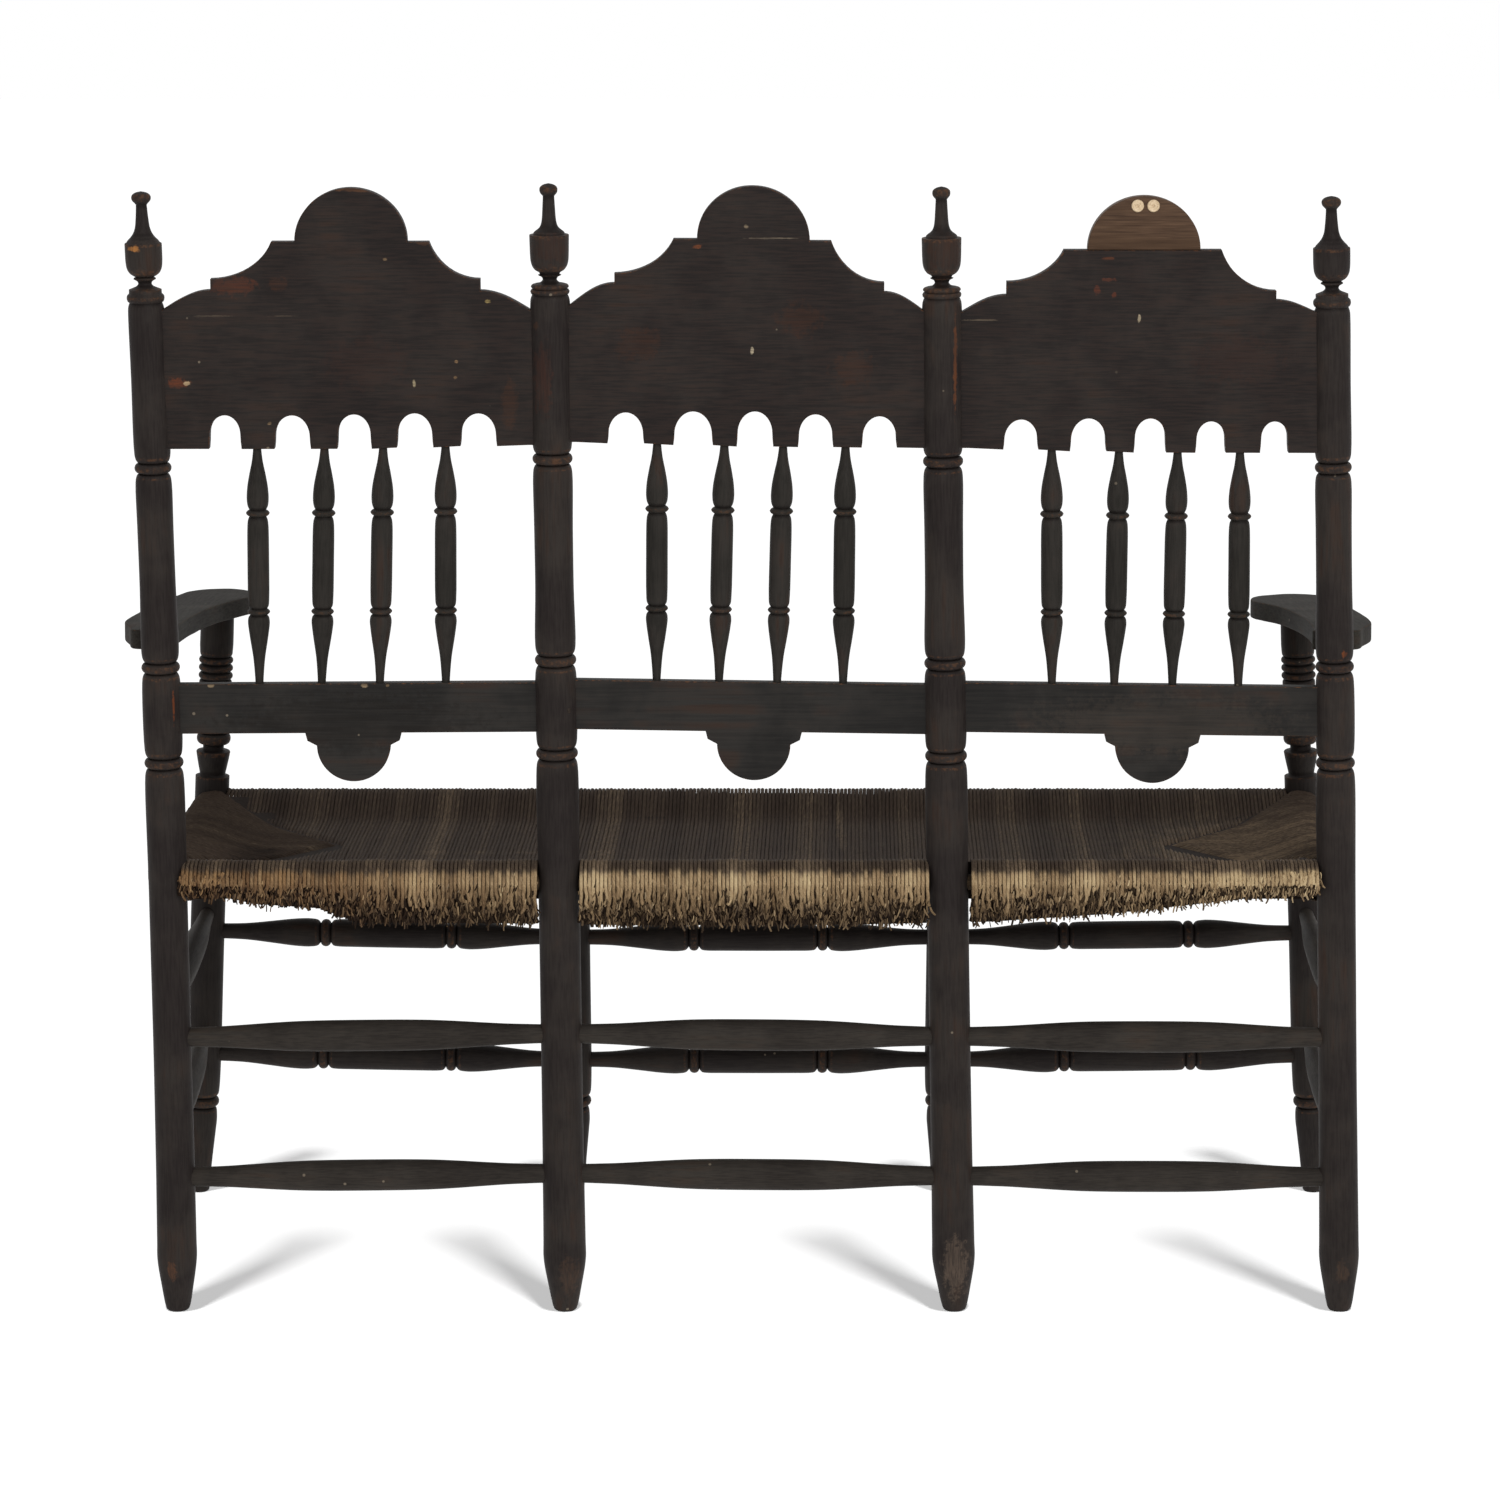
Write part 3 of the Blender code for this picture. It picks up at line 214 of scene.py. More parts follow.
# the stay rails: smoother and cooler, each with its own depth of black
stayPaint = agedPaint("agedBlackPaintOnStayRails", {
    **paintLook, **paintGrain(0.0022), "dark": "#242322", "grey": "#2f2d2b", "stretch": 0.03, "wearShare": 0.35,
    "grainShare": 0.2,
    "spots": (
        (0.400, 0.620, 0.260, 0.060, 0.55, "#1d1916"), (-0.410, 0.620, 0.260, 0.060, 0.45, "#443c35"),
        (0.545, 0.660, 0.006, 0.004, 1.0, "#a08a6c"), (0.391, 0.660, 0.007, 0.004, 0.9, "#a08a6c"),
        (0.367, 0.660, 0.004, 0.003, 0.9, "#8a7254"), (0.186, 0.638, 0.016, 0.003, 0.8, "#7a4a2a"),
    ),
})
# spindles and front turnings: even, little worn
spindlePaint = agedPaint("agedBlackPaintOnSpindles", {
    **paintLook, "dark": "#272522", "grey": "#302d2a", "grainShare": 0.2, "chipShare": 0.35, "wearShare": 0.10,
})
frontPaint = agedPaint("blackPaintOnFrontTurnings", {
    **paintLook, "dark": "#252120", "grey": "#2e2a27", "grainShare": 0.2,
})
# the plain stretchers: greyer and duller, scuffed by feet
stretcherPaint = agedPaint("wornPaintOnStretchers", {
    **paintLook, **paintGrain(0.0012), "dark": "#2b2724", "grey": "#36322e", "light": "#433d37",
    "brown": "#3c3028", "grainShare": 0.25, "roughness": 0.6,
})
# the arms: a dull greenish grey black, smoothed by hands
armPaint = agedPaint("handWornPaintOnArms", {
    **paintLook, **paintGrain(0.002), "dark": "#282522", "grey": "#32302c", "light": "#3c3934", "stretch": 0.04,
    "roughness": 0.62, "specular": 0.02,
})


# Bare or varnished wood, and bone. To the eye: a plain ground with fine darker streaks or flecks.
def fineGrained(name, look):
    made, tree, shader = newMaterial(name)
    world = addNode(tree, "ShaderNodeTexCoord").outputs["Object"]
    along = addNode(tree, "ShaderNodeVectorMath", {0: world, 1: look["stretch"]}, operation="MULTIPLY").outputs[0]
    grain, broad = (
        addNode(tree, "ShaderNodeTexNoise", {"Vector": along, "Scale": 1 / width, "Detail": detail,
                                             "Roughness": roughness}).outputs["Fac"]
        for width, detail, roughness in ((look["grainWidth"], look["detail"], 0.6),
                                         (look["grainWidth"] / 0.15, 2.0, 0.55)))
    colour = addNode(tree, "ShaderNodeValToRGB", {0: grain}, stops=look["stops"]).outputs[0]
    streak = addNode(tree, "ShaderNodeMapRange", {"Value": broad, "From Min": 0.4, "From Max": 0.65,
                                                  "To Max": look["darkShare"]},
                     interpolation_type="SMOOTHSTEP").outputs[0]
    colour = addNode(tree, "ShaderNodeMix", {0: streak, 6: colour, 7: linear(look["dark"])},
                     data_type="RGBA").outputs[2]
    bump = addNode(tree, "ShaderNodeBump", {"Height": grain, "Strength": look["bump"], "Distance": look["relief"]})
    feed(tree, shader, {"Base Color": colour, "Roughness": look["roughness"],
                        "Specular IOR Level": look["specular"], "Normal": bump.outputs[0]})
    return made


woodLook = {"detail": 5.0, "specular": 0.12, "bump": 0.25, "relief": 0.0004, "darkShare": 0.5}
# old maple under worn varnish: warm brown with long darker streaks, a little sheen
lobeWood = fineGrained("brownOldMaple", {
    **woodLook, "stops": ((0.3, "#38281d"), (0.55, "#503c2d"), (0.8, "#644d3b")), "dark": "#3e2c1d",
    "stretch": (0.05, 1.0, 1.0), "grainWidth": 0.0022, "roughness": 0.5,
})
# bare ash, shaved round: dull brown, seen only between the strands
railWood = fineGrained("bareAshOfSeatRails", {
    **woodLook, "stops": ((0.3, "#33281d"), (0.55, "#463828"), (0.8, "#5a4834")), "dark": "#2c2219",
    "stretch": (0.4, 0.4, 1.0), "grainWidth": 0.0025, "roughness": 0.7,
})
# cut end grain, rubbed dark: fine and dull
pegWood = fineGrained("darkEndGrainOfPegs", {
    **woodLook, "stops": ((0.3, "#1d1814"), (0.55, "#2c241e"), (0.8, "#3a3028")), "dark": "#1a1512",
    "stretch": (1.0, 1.0, 1.0), "grainWidth": 0.0012, "roughness": 0.6,
})
# turned bone: creamy white, smooth, faint darker flecks
boneWhite = fineGrained("turnedBone", {
    "stops": ((0.25, "#a08868"), (0.5, "#cdb593"), (0.75, "#dcc8aa")), "detail": 4.0, "stretch": (1.0, 1.0, 1.0),
    "dark": "#a08868", "darkShare": 0.0, "grainWidth": 0.0012, "roughness": 0.35, "specular": 0.3, "bump": 0.15,
    "relief": 0.0002,
})


# Twisted rush, dusty grey-brown where sat on and still straw-gold where it hangs at the back.
def twistedRush(look):
    made, tree, shader = newMaterial("twistedRush")
    place = addNode(tree, "ShaderNodeAttribute", attribute_name="grainAt").outputs["Vector"]
    tone, gold, pale = (addNode(tree, "ShaderNodeAttribute", attribute_name=key).outputs["Fac"]
                        for key in ("tone", "gold", "pale"))
    world = addNode(tree, "ShaderNodeTexCoord").outputs["Object"]
    along = addNode(tree, "ShaderNodeVectorMath", {0: place, 1: (1.0, 1.0, look["stretch"])},
                    operation="MULTIPLY").outputs[0]
    fibres, broad = (
        addNode(tree, "ShaderNodeTexNoise", {"Vector": vector, "Scale": 1 / width, "Detail": 3.0,
                                             "Roughness": 0.6}).outputs["Fac"]
        for vector, width in ((along, look["fibreWidth"]), (world, look["patchWidth"])))
    mixed = 0.0
    for value, share in ((tone, 0.26), (fibres, 0.70)):
        mixed = addNode(tree, "ShaderNodeMath", {0: value, 1: share, 2: mixed}, operation="MULTIPLY_ADD").outputs[0]
    dusty, browner, paler = (addNode(tree, "ShaderNodeValToRGB", {0: mixed}, stops=look[key]).outputs[0]
                             for key in ("dusty", "browner", "paler"))
    zone = addNode(tree, "ShaderNodeMath", {0: broad, 1: 0.5, 2: gold}, operation="MULTIPLY_ADD").outputs[0]
    zone = addNode(tree, "ShaderNodeMapRange", {"Value": zone, "From Min": 0.40, "From Max": 1.15},
                   interpolation_type="SMOOTHSTEP").outputs[0]
    straw = addNode(tree, "ShaderNodeMix", {0: pale, 6: browner, 7: paler}, data_type="RGBA").outputs[2]
    colour = addNode(tree, "ShaderNodeMix", {0: zone, 6: dusty, 7: straw}, data_type="RGBA").outputs[2]
    bump = addNode(tree, "ShaderNodeBump", {"Height": fibres, "Strength": 0.4, "Distance": 0.0006})
    feed(tree, shader, {"Base Color": colour, "Roughness": 0.75, "Specular IOR Level": 0.05,
                        "Normal": bump.outputs[0]})
    return made


rushStraw = twistedRush({
    # fibres run along a strand, here 0.9 mm wide so that they show
    "fibreWidth": 0.0009, "patchWidth": 0.060, "stretch": 0.08,
    "dusty": ((0.18, "#1f1814"), (0.44, "#3a3029"), (0.60, "#4a3f35"), (0.85, "#7d6b57")),
    "browner": ((0.16, "#241912"), (0.40, "#58412d"), (0.58, "#74593e"), (0.82, "#9c7c56")),
    "paler": ((0.16, "#2e241a"), (0.40, "#7d674c"), (0.58, "#a28a69"), (0.82, "#c9b38c")),
})
print("materials made")


# meshes: small helpers
def makePiece(name, points, faces, look, replaced=(), values=None, vectors=None, sharp=40.0):
    mesh = bpy.data.meshes.new(name)
    mesh.from_pydata(points, [], faces)
    mesh.update()
    for key, numbers in (values or {}).items():
        mesh.attributes.new(key, "FLOAT", "POINT").data.foreach_set("value", numbers)
    for key, numbers in (vectors or {}).items():
        flat = [part for vector in numbers for part in vector]
        mesh.attributes.new(key, "FLOAT_VECTOR", "POINT").data.foreach_set("vector", flat)
    mesh.shade_smooth()
    mesh.set_sharp_from_angle(angle=math.radians(sharp))
    mesh.materials.append(look)
    made = bpy.data.objects.new(name, mesh)
    scene.collection.objects.link(made)
    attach(made, "root")
    if replaced:
        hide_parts(*replaced)
    return made


def ringFaces(rings, sides, base=0):
    # the quads between closed rings of points laid one after another
    return [(low + side, low + (side + 1) % sides, low + sides + (side + 1) % sides, low + sides + side)
            for low in range(base, base + (rings - 1) * sides, sides) for side in range(sides)]


def through(points, reach=0.0016, flat=0.012):
    # a smooth line through (place, radius) pairs; a third word marks a corner
    runs, run = [], [points[0]]
    for point in points[1:]:
        run.append(point)
        if len(point) > 2:
            runs.append(run)
            run = [point]
    if len(run) > 1:
        runs.append(run)
    line = [points[0][:2]]
    for run in runs:
        spots = [Vector(point[:2]) for point in run]
        spots = [2 * spots[0] - spots[1], *spots, 2 * spots[-1] - spots[-2]]
        for a, b, c, d in zip(spots, spots[1:], spots[2:], spots[3:]):
            k1, k2, k3 = ((q - p).length ** 0.5 + 1e-6 for p, q in ((a, b), (b, c), (c, d)))
            out = (b - a) / k1 - (c - a) / (k1 + k2) + (c - b) / k2
            into = (c - b) / k2 - (d - b) / (k2 + k3) + (d - c) / k3
            span = (c - b).length
            bent = abs(out.y) + abs(into.y) > 1e-5
            count = max(1, min(12, round(span / (reach if bent and span < 0.04 else flat))))
            for step in range(1, count + 1):
                t = step / count
                h = (2 * t**3 - 3 * t**2 + 1, t**3 - 2 * t**2 + t, -2 * t**3 + 3 * t**2, t**3 - t**2)
                spot = h[0] * b + h[1] * k2 * out + h[2] * c + h[3] * k2 * into
                line.append((spot.x, max(spot.y, 0.0003)))
    return line


def turned(name, start, end, profile, look, replaced, sides=32, bow=(0.0, 0.0), uneven=0.006):
    axis = end - start
    length = axis.length
    direction = axis / length
    first = Vector((1.0, 0.0, 0.0)) if abs(direction.x) < 0.7 else Vector((0.0, 1.0, 0.0))
    second = direction.cross(first).normalized()
    first = second.cross(direction)
    offset = Vector([random.Random(name).uniform(-9, 9) for _ in range(3)])
    line = through(profile)
    points, places, wear, grooveShade = [], [], [], []
    for index, (along, radius) in enumerate(line):
        # where a ring stands out it gets wear, where it sinks into a groove it gets painted shade
        near = [r for s, r in line[max(0, index - 12):index + 13] if abs(s - along) < 0.006]
        bulge = (radius - sum(near) / len(near)) / 0.0009
        share = along / length
        centre = start + direction * along + first * (4 * bow[0] * share * (1 - share))
        centre += second * (4 * bow[1] * share * (1 - share))
        for side in range(sides):
            angle = 2 * math.pi * side / sides
            cosine, sine = math.cos(angle), math.sin(angle)
            rough = noise.noise(Vector((cosine, sine, along * 14)) + offset)
            reach = radius * (1 + uneven * rough)
            points.append(centre + first * (reach * cosine) + second * (reach * sine))
            places.append((offset.x + radius * cosine, offset.y + radius * sine, offset.z + along))
            wear.append(min(1.0, max(0.0, bulge)))
            grooveShade.append(min(1.0, max(0.0, -bulge)))
    faces = ringFaces(len(line), sides)
    faces.append(tuple(reversed(range(sides))))
    faces.append(tuple(range(len(points) - sides, len(points))))
    return makePiece(name, points, faces, look, replaced, {"wear": wear, "grooveShade": grooveShade},
                     {"grainAt": places}, 50.0)


def insetLine(outline, amount):
    count = len(outline)
    moved = []
    for index in range(count):
        before, here, after = (Vector(outline[(index + shift) % count]) for shift in (-1, 0, 1))
        one, two = (here - before).normalized(), (after - here).normalized()
        inward = Vector((-one.y, one.x)) + Vector((-two.y, two.x))
        cosine = max(0.35, 1.0 + one.dot(two))
        moved.append(here + inward * (amount / cosine))
    return moved


def cleanLine(outline, least=0.0002):
    kept = []
    for point in outline:
        if not kept or (Vector(point) - Vector(kept[-1])).length > least:
            kept.append(tuple(point))
    if (Vector(kept[0]) - Vector(kept[-1])).length <= least:
        kept.pop()
    area = sum(a[0] * b[1] - b[0] * a[1] for a, b in zip(kept, kept[1:] + kept[:1]))
    return kept if area > 0 else list(reversed(kept))


def gapTo(outline, spot):
    # how far a point lies from a closed line
    least = 1.0
    for a, b in zip(outline, outline[1:] + outline[:1]):
        side = b - a
        share = min(1.0, max(0.0, (spot - a).dot(side) / side.length_squared))
        least = min(least, (spot - a - side * share).length)
    return least


def filledFace(outline, spacing):
    # triangles that fill a closed line, with points inside it
    corners = [Vector(point) for point in outline]
    lows = [min(point[axis] for point in corners) for axis in (0, 1)]
    highs = [max(point[axis] for point in corners) for axis in (0, 1)]
    rows, columns = (int((highs[axis] - lows[axis]) / spacing) + 1 for axis in (1, 0))
    inner = [Vector((lows[0] + (column + 0.5 * (row % 2) + 0.3) * spacing, lows[1] + (row + 0.4) * spacing))
             for row in range(rows) for column in range(columns)]
    count = len(corners)
    ends = [(index, (index + 1) % count) for index in range(count)]
    kept = [spot for spot in inner if gapTo(corners, spot) > 0.6 * spacing]
    spots, _, made, _, _, _ = geometry.delaunay_2d_cdt(corners + kept, ends, [], 1, 1e-7)
    return spots, made


def shapedBoard(name, outline, thickness, place, look, replaced, edge=0.0014, turn=None, spacing=0.009,
                rough=0.0002):
    outline = cleanLine(outline)
    half = 0.5 * thickness
    arcs = [math.radians(22.5 * step) for step in range(5)]
    # inset, depth and wear of each ring round the rounded edge
    rings = [(edge * (1 - math.sin(a)), half - edge * (1 - math.cos(a)), 0.45 + 0.55 * math.sin(2 * a))
             for a in arcs]
    rings += [(inset, -depth, worn) for inset, depth, worn in reversed(rings)]
    offset = Vector([random.Random(name).uniform(-9, 9) for _ in range(3)])
    points, places, wear = [], [], []

    def addPoint(x, depth, z, worn):
        shake = noise.noise(Vector((x, depth, z)) * 60 + offset) * rough
        slow = noise.noise(Vector((x * 7, 3.0, z * 14)) + offset) * 2 * rough
        spot = Vector((x, depth + shake + slow, z + shake))
        points.append(place @ spot)
        places.append((offset.x + z, offset.y + depth, offset.z + x) if turn is None else turn(spot, offset))
        wear.append(worn)
        return len(points) - 1

    count = len(outline)
    for inset, depth, worn in rings:
        for x, z in insetLine(outline, inset):
            addPoint(x, depth, z, worn)
    faces = [(a, d, c, b) for a, b, c, d in ringFaces(len(rings), count)]
    lastRing = len(faces)
    spots, made = filledFace([tuple(point) for point in insetLine(outline, edge)], spacing)
    for first, depth in ((0, half), (lastRing, -half)):
        index = {}
        for number, spot in enumerate(spots):
            index[number] = first + number if number < count else addPoint(spot.x, depth, spot.y, 0.0)
        for face in made:
            corners = [index[number] for number in face]
            faces.append(tuple(reversed(corners) if first else corners))
    if (place.to_3x3() @ Vector((0, 1, 0))).dot(facing(points, faces[lastRing])) < 0:
        faces = faces[:lastRing] + [tuple(reversed(face)) for face in faces[lastRing:]]
    return makePiece(name, points, faces, look, replaced, {"wear": wear, "grooveShade": [0.0] * len(wear)},
                     {"grainAt": places}, 38.0)


def facing(points, face):
    total = Vector((0.0, 0.0, 0.0))
    for a, b in zip(face, face[1:] + face[:1]):
        total += points[a].cross(points[b])
    return total


def arc(centre, radius, start, end, count):
    turns = [math.radians(start + (end - start) * step / count) for step in range(count + 1)]
    return [(centre[0] + radius * math.cos(t), centre[1] + radius * math.sin(t)) for t in turns]


# the frame's places, in metres, posts counted from the left as seen from behind
places = {
    "bay": 0.401, "rearShifts": (-0.0020, -0.0020, -0.0036, -0.0010), "rearLeans": (0.0070, 0.0065, 0.0200, 0.0325),
    "rearRake": 0.0437, "frontFeet": (0.6305, 0.2070, -0.2100, -0.6285), "frontLeans": (-0.0550, 0.0, 0.0, 0.0510),
    "frontRake": 0.045, "depth": 0.455, "origin": (-0.004610, 0.203113),
    "seat": 0.455, "frontRail": 0.443, "stayLow": 0.610, "stayTop": 0.661, "crestLow": 0.901,
    "crestEnd": 0.138, "shaftTop": 1.046, "tenon": 0.012, "sunk": 0.016,
}
rearNames = ("left_outer", "left_inner", "right_inner", "right_outer")
pieceNames = ("LeftOuter", "LeftInner", "RightInner", "RightOuter")
bays = ("left", "centre", "right")


def rearAxis(post, height):
    x = (1.5 - post) * places["bay"] + places["rearShifts"][post] + places["rearLeans"][post] * height
    return Vector((x + places["origin"][0], places["rearRake"] * height + places["origin"][1], height))


def frontAxis(post, height):
    x = places["frontFeet"][post] + places["frontLeans"][post] * height
    y = -places["depth"] + places["frontRake"] * height
    return Vector((x + places["origin"][0], y + places["origin"][1], height))


def backPlane(height):
    rake = math.atan(places["rearRake"])
    origin = Vector((0.0, places["rearRake"] * height + places["origin"][1], height))
    return Matrix.Translation(origin) @ Matrix.Rotation(-rake, 4, "X")


def torus(centre, half, inner, outer):
    ring = [(centre + half * math.sin(t), inner + (outer - inner) * math.cos(t))
            for t in (math.radians(-90 + 20 * step) for step in range(10))]
    return [(*ring[0], "corner"), *ring[1:-1], (*ring[-1], "corner")]


def ringBead(centre, below, above, ring):
    half, stand, depth = ring["half"], ring["stand"], ring["depth"]
    low = [(centre - half - ring["shoulder"] * (1 - math.sin(t)), below - depth * (1 - math.cos(t)))
           for t in (0.0, 0.7, 1.1, 1.4)]
    high = [(centre + half + ring["shoulder"] * (1 - math.sin(t)), above - depth * (1 - math.cos(t)))
            for t in (1.4, 1.1, 0.7, 0.0)]
    inner = min(below, above) - depth
    return low + torus(centre, half, inner, 0.5 * (below + above) + stand) + high


# rear posts
rearPost = {
    "upper": (0.0180, 0.0197), "lower": (0.0195, 0.0210), "finialRadius": (0.0180, 0.0195), "finialHeight": 0.110,
    "gains": (0.001, 0.009, 0.006, -0.003), "footHeight": 0.055, "footRadius": 0.0118, "swell": 1.04,
    "beads": ((0.5802, 0.6784, 0.8814), (0.5901, 0.6862, 0.8909),
              (0.5874, 0.6830, 0.8884), (0.5802, 0.6795, 0.8824)),
    "bows": (-0.0042, 0.0, 0.0020, 0.0), "waist": (1.0, 0.985),
    "ring": {"half": 0.0052, "stand": 0.0004, "depth": 0.0045, "shoulder": 0.010},
    # height up the finial and half width, as shares
    "finial": (
        (0.000, 0.90, 1), (0.010, 0.985), (0.038, 1.04), (0.066, 1.01), (0.080, 0.92, 1), (0.084, 0.90, 1),
        (0.118, 0.90, 1), (0.126, 0.78, 1), (0.150, 0.46), (0.170, 0.37), (0.192, 0.42), (0.206, 0.56),
        (0.212, 0.62, 1), (0.222, 0.60, 1), (0.232, 0.50, 1), (0.245, 0.66), (0.270, 0.84), (0.310, 0.96),
        (0.370, 1.01), (0.450, 1.02), (0.528, 1.02, 1), (0.536, 1.00, 1), (0.540, 0.93, 1), (0.558, 0.86),
        (0.585, 0.70), (0.620, 0.54), (0.670, 0.42), (0.740, 0.36), (0.820, 0.32), (0.880, 0.30, 1),
        (0.893, 0.36), (0.915, 0.49), (0.940, 0.54), (0.966, 0.50), (0.988, 0.32), (1.000, 0.02),
    ),
    "innerFinial": (
        (0.000, 0.90, 1), (0.010, 0.97), (0.030, 1.00), (0.046, 0.96), (0.052, 0.88, 1), (0.056, 0.90),
        (0.074, 0.97), (0.092, 0.90), (0.098, 0.80, 1), (0.110, 0.50), (0.135, 0.36), (0.160, 0.42),
        (0.172, 0.56), (0.178, 0.60, 1), (0.186, 0.50, 1), (0.200, 0.54), (0.222, 0.74), (0.255, 0.88),
        (0.300, 0.96), (0.370, 0.99), (0.450, 1.00),
        (0.532, 1.01, 1), (0.540, 1.00, 1), (0.543, 0.82, 1), (0.562, 0.78), (0.582, 0.64), (0.605, 0.49),
        (0.640, 0.40), (0.690, 0.355), (0.770, 0.325), (0.850, 0.30), (0.885, 0.29, 1), (0.896, 0.34),
        (0.916, 0.43), (0.942, 0.46), (0.966, 0.43), (0.988, 0.27), (1.000, 0.02),
    ),
}


def shaftLine(post):
    outer = 0 if post in (0, 3) else 1
    look, ring = rearPost, rearPost["ring"]
    lower, upper = look["lower"][outer], look["upper"][outer]
    foot, swell = look["footRadius"], look["swell"] * lower
    line = [(0.0, foot - 0.0015, 1), (0.0016, foot), (0.5 * look["footHeight"], 0.5 * (foot + swell) + 0.0006),
            (look["footHeight"], swell), (0.075, swell), (0.16, 1.015 * lower), (0.255, lower), (0.45, lower)]
    middle = 0.5 * (lower + upper)
    low, arms, high = look["beads"][post]
    line += ringBead(low, lower, 0.5 * (lower + middle), ring)
    line += ringBead(arms, 0.5 * (lower + middle), middle, ring)
    line += [(height, upper * look["waist"][outer]) for height in (0.76, 0.82)]
    line += ringBead(high, upper, upper, ring)
    top = places["shaftTop"] + look["gains"][post]
    line += [(0.97, upper), (top - 0.0085, upper), (top - 0.004, 0.975 * upper), (top - 0.001, 0.92 * upper)]
    radius = look["finialRadius"][outer]
    shares = look["finial"] if outer == 0 else look["innerFinial"]
    line += [(top + share * look["finialHeight"], out * radius, *mark) for share, out, *mark in shares]
    return line


for post in range(4):
    line = shaftLine(post)
    turned("rearPost" + pieceNames[post], rearAxis(post, 0.0), rearAxis(post, line[-1][0]), line, postPaint,
           ["rear_post_" + rearNames[post]], 40, (rearPost["bows"][post], 0.0))
print("rear posts turned")


# front posts with the arm posts above the seat, and the shorter inner legs
frontPost = {
    "radius": 0.0190, "innerRadius": 0.0205, "armRadius": 0.0180, "neckRadius": 0.0115,
    "armHeights": {0: 0.7129, 3: 0.7121}, "armFalls": {0: 0.0600, 3: 0.0705}, "armThick": 0.0195,
    "armRings": (0.5960, 0.6048, 0.6136), "legBead": 0.106,
    "legRing": {"half": 0.0060, "stand": 0.0010, "depth": 0.0045, "shoulder": 0.007},
    # height above the rail and half width as a share: a collar, a flaring cone and its lip
    "collar": ((-0.0200, 1.00), (0.0115, 1.00), (0.0130, 0.99, 1), (0.0390, 0.99, 1), (0.0402, 0.78, 1),
               (0.0412, 0.75), (0.0500, 0.83), (0.0600, 0.93), (0.0665, 0.985, 1), (0.0675, 0.96), (0.0680, 0.72)),
}


def armTop(post, y):
    return frontPost["armHeights"][post] + frontPost["armFalls"][post] * (y - places["origin"][1])


def armJoint(post):
    # the height where the middle of a front post meets the top of its arm
    return armTop(post, frontAxis(post, 0.0).y) / (1.0 - frontPost["armFalls"][post] * places["frontRake"])


def legLine(radius):
    line = [(0.0, 0.0095, 1), (0.0015, 0.0110)]
    line += [(height, share * radius)
             for height, share in ((0.010, 0.62), (0.040, 0.73), (0.072, 0.87), (0.086, 0.92))]
    return line + ringBead(frontPost["legBead"], 0.92 * radius, radius, frontPost["legRing"])[1:]


def frontPostLine(post):
    r, arm, neck = (frontPost[key] for key in ("radius", "armRadius", "neckRadius"))
    rail = places["frontRail"]
    line = legLine(r) + [(0.30, r)]
    line += [(rail + up, share * r, *mark) for up, share, *mark in frontPost["collar"]]
    line += [(rail + 0.0688, neck, 1), (rail + 0.0742, neck, 1)]
    line += torus(rail + 0.0820, 0.0062, 0.80 * arm, 1.04 * arm)
    line += [(rail + 0.0892, 0.90 * arm), (rail + 0.095, arm), (rail + 0.12, arm)]
    line += [(0.584, arm), (0.5905, 0.97 * arm)]
    for height in frontPost["armRings"]:
        line += torus(height, 0.0040, 0.80 * arm, 1.05 * arm)
    under = armJoint(post) - frontPost["armThick"]
    line += [(0.6186, 0.94 * arm), (0.622, arm), (under + 0.006, arm, 1), (under + 0.007, 0.5 * arm)]
    return line


for post, side in ((0, "Left"), (3, "Right")):
    line = frontPostLine(post)
    turned("frontPost" + side, frontAxis(post, 0.0), frontAxis(post, line[-1][0]), line, frontPaint,
           ["front_post_" + side.lower()], 36)
for post, side in ((1, "Left"), (2, "Right")):
    radius = frontPost["innerRadius"]
    line = legLine(radius) + [(0.30, radius), (0.4295, radius, 1), (0.430, 0.4 * radius)]
    turned("frontLegInner" + side, frontAxis(post, 0.0), frontAxis(post, line[-1][0]), line, frontPaint,
           ["front_leg_inner_" + side.lower()], 36)
print("front posts turned")


# stretchers
stretchers = {
    "backHeights": (0.145, 0.294), "backRises": (-0.0025, 0.0015, -0.0015, -0.0025), "back": (0.0160, 0.0098),
    "frontHeights": (0.1545, 0.2965), "frontRises": (0.0065, -0.0010, -0.0010, 0.0040), "front": (0.0158, 0.0085),
    "sideFront": (0.184, 0.325), "sideRear": (0.185, 0.320), "side": (0.0135, 0.0080), "sunk": 0.012,
    "swell": ((0.00, 0.00), (0.05, 0.08), (0.10, 0.18), (0.17, 0.42), (0.24, 0.68), (0.31, 0.88), (0.38, 0.97),
              (0.44, 1.0)),
    "ringed": ((0.00, 0.00), (0.07, 0.12), (0.15, 0.55), (0.20, 0.85), (0.235, 0.99), (0.262, 1.0), (0.285, 0.80)),
    "ringAt": 0.309, "ringHalf": 0.0055,
}


def rodPiece(name, ends, halfLine, radii, look, replaced):
    (first, firstRadius), (last, lastRadius) = ends
    direction = (last - first).normalized()
    start = first + direction * (firstRadius - stretchers["sunk"])
    end = last - direction * (lastRadius - stretchers["sunk"])
    length = (end - start).length
    visible = length - 2 * stretchers["sunk"]
    half = halfLine(visible, *radii)
    line = [(0.0, radii[1])] + [(stretchers["sunk"] + s, r, *mark) for s, r, *mark in half]
    line += [(length - s, r, *mark) for s, r, *mark in reversed(line)]
    turned(name, start, end, line, look, replaced, 28)


def swelled(visible, radius, endRadius):
    return [(share * visible, endRadius + (radius - endRadius) * out) for share, out in stretchers["swell"]]


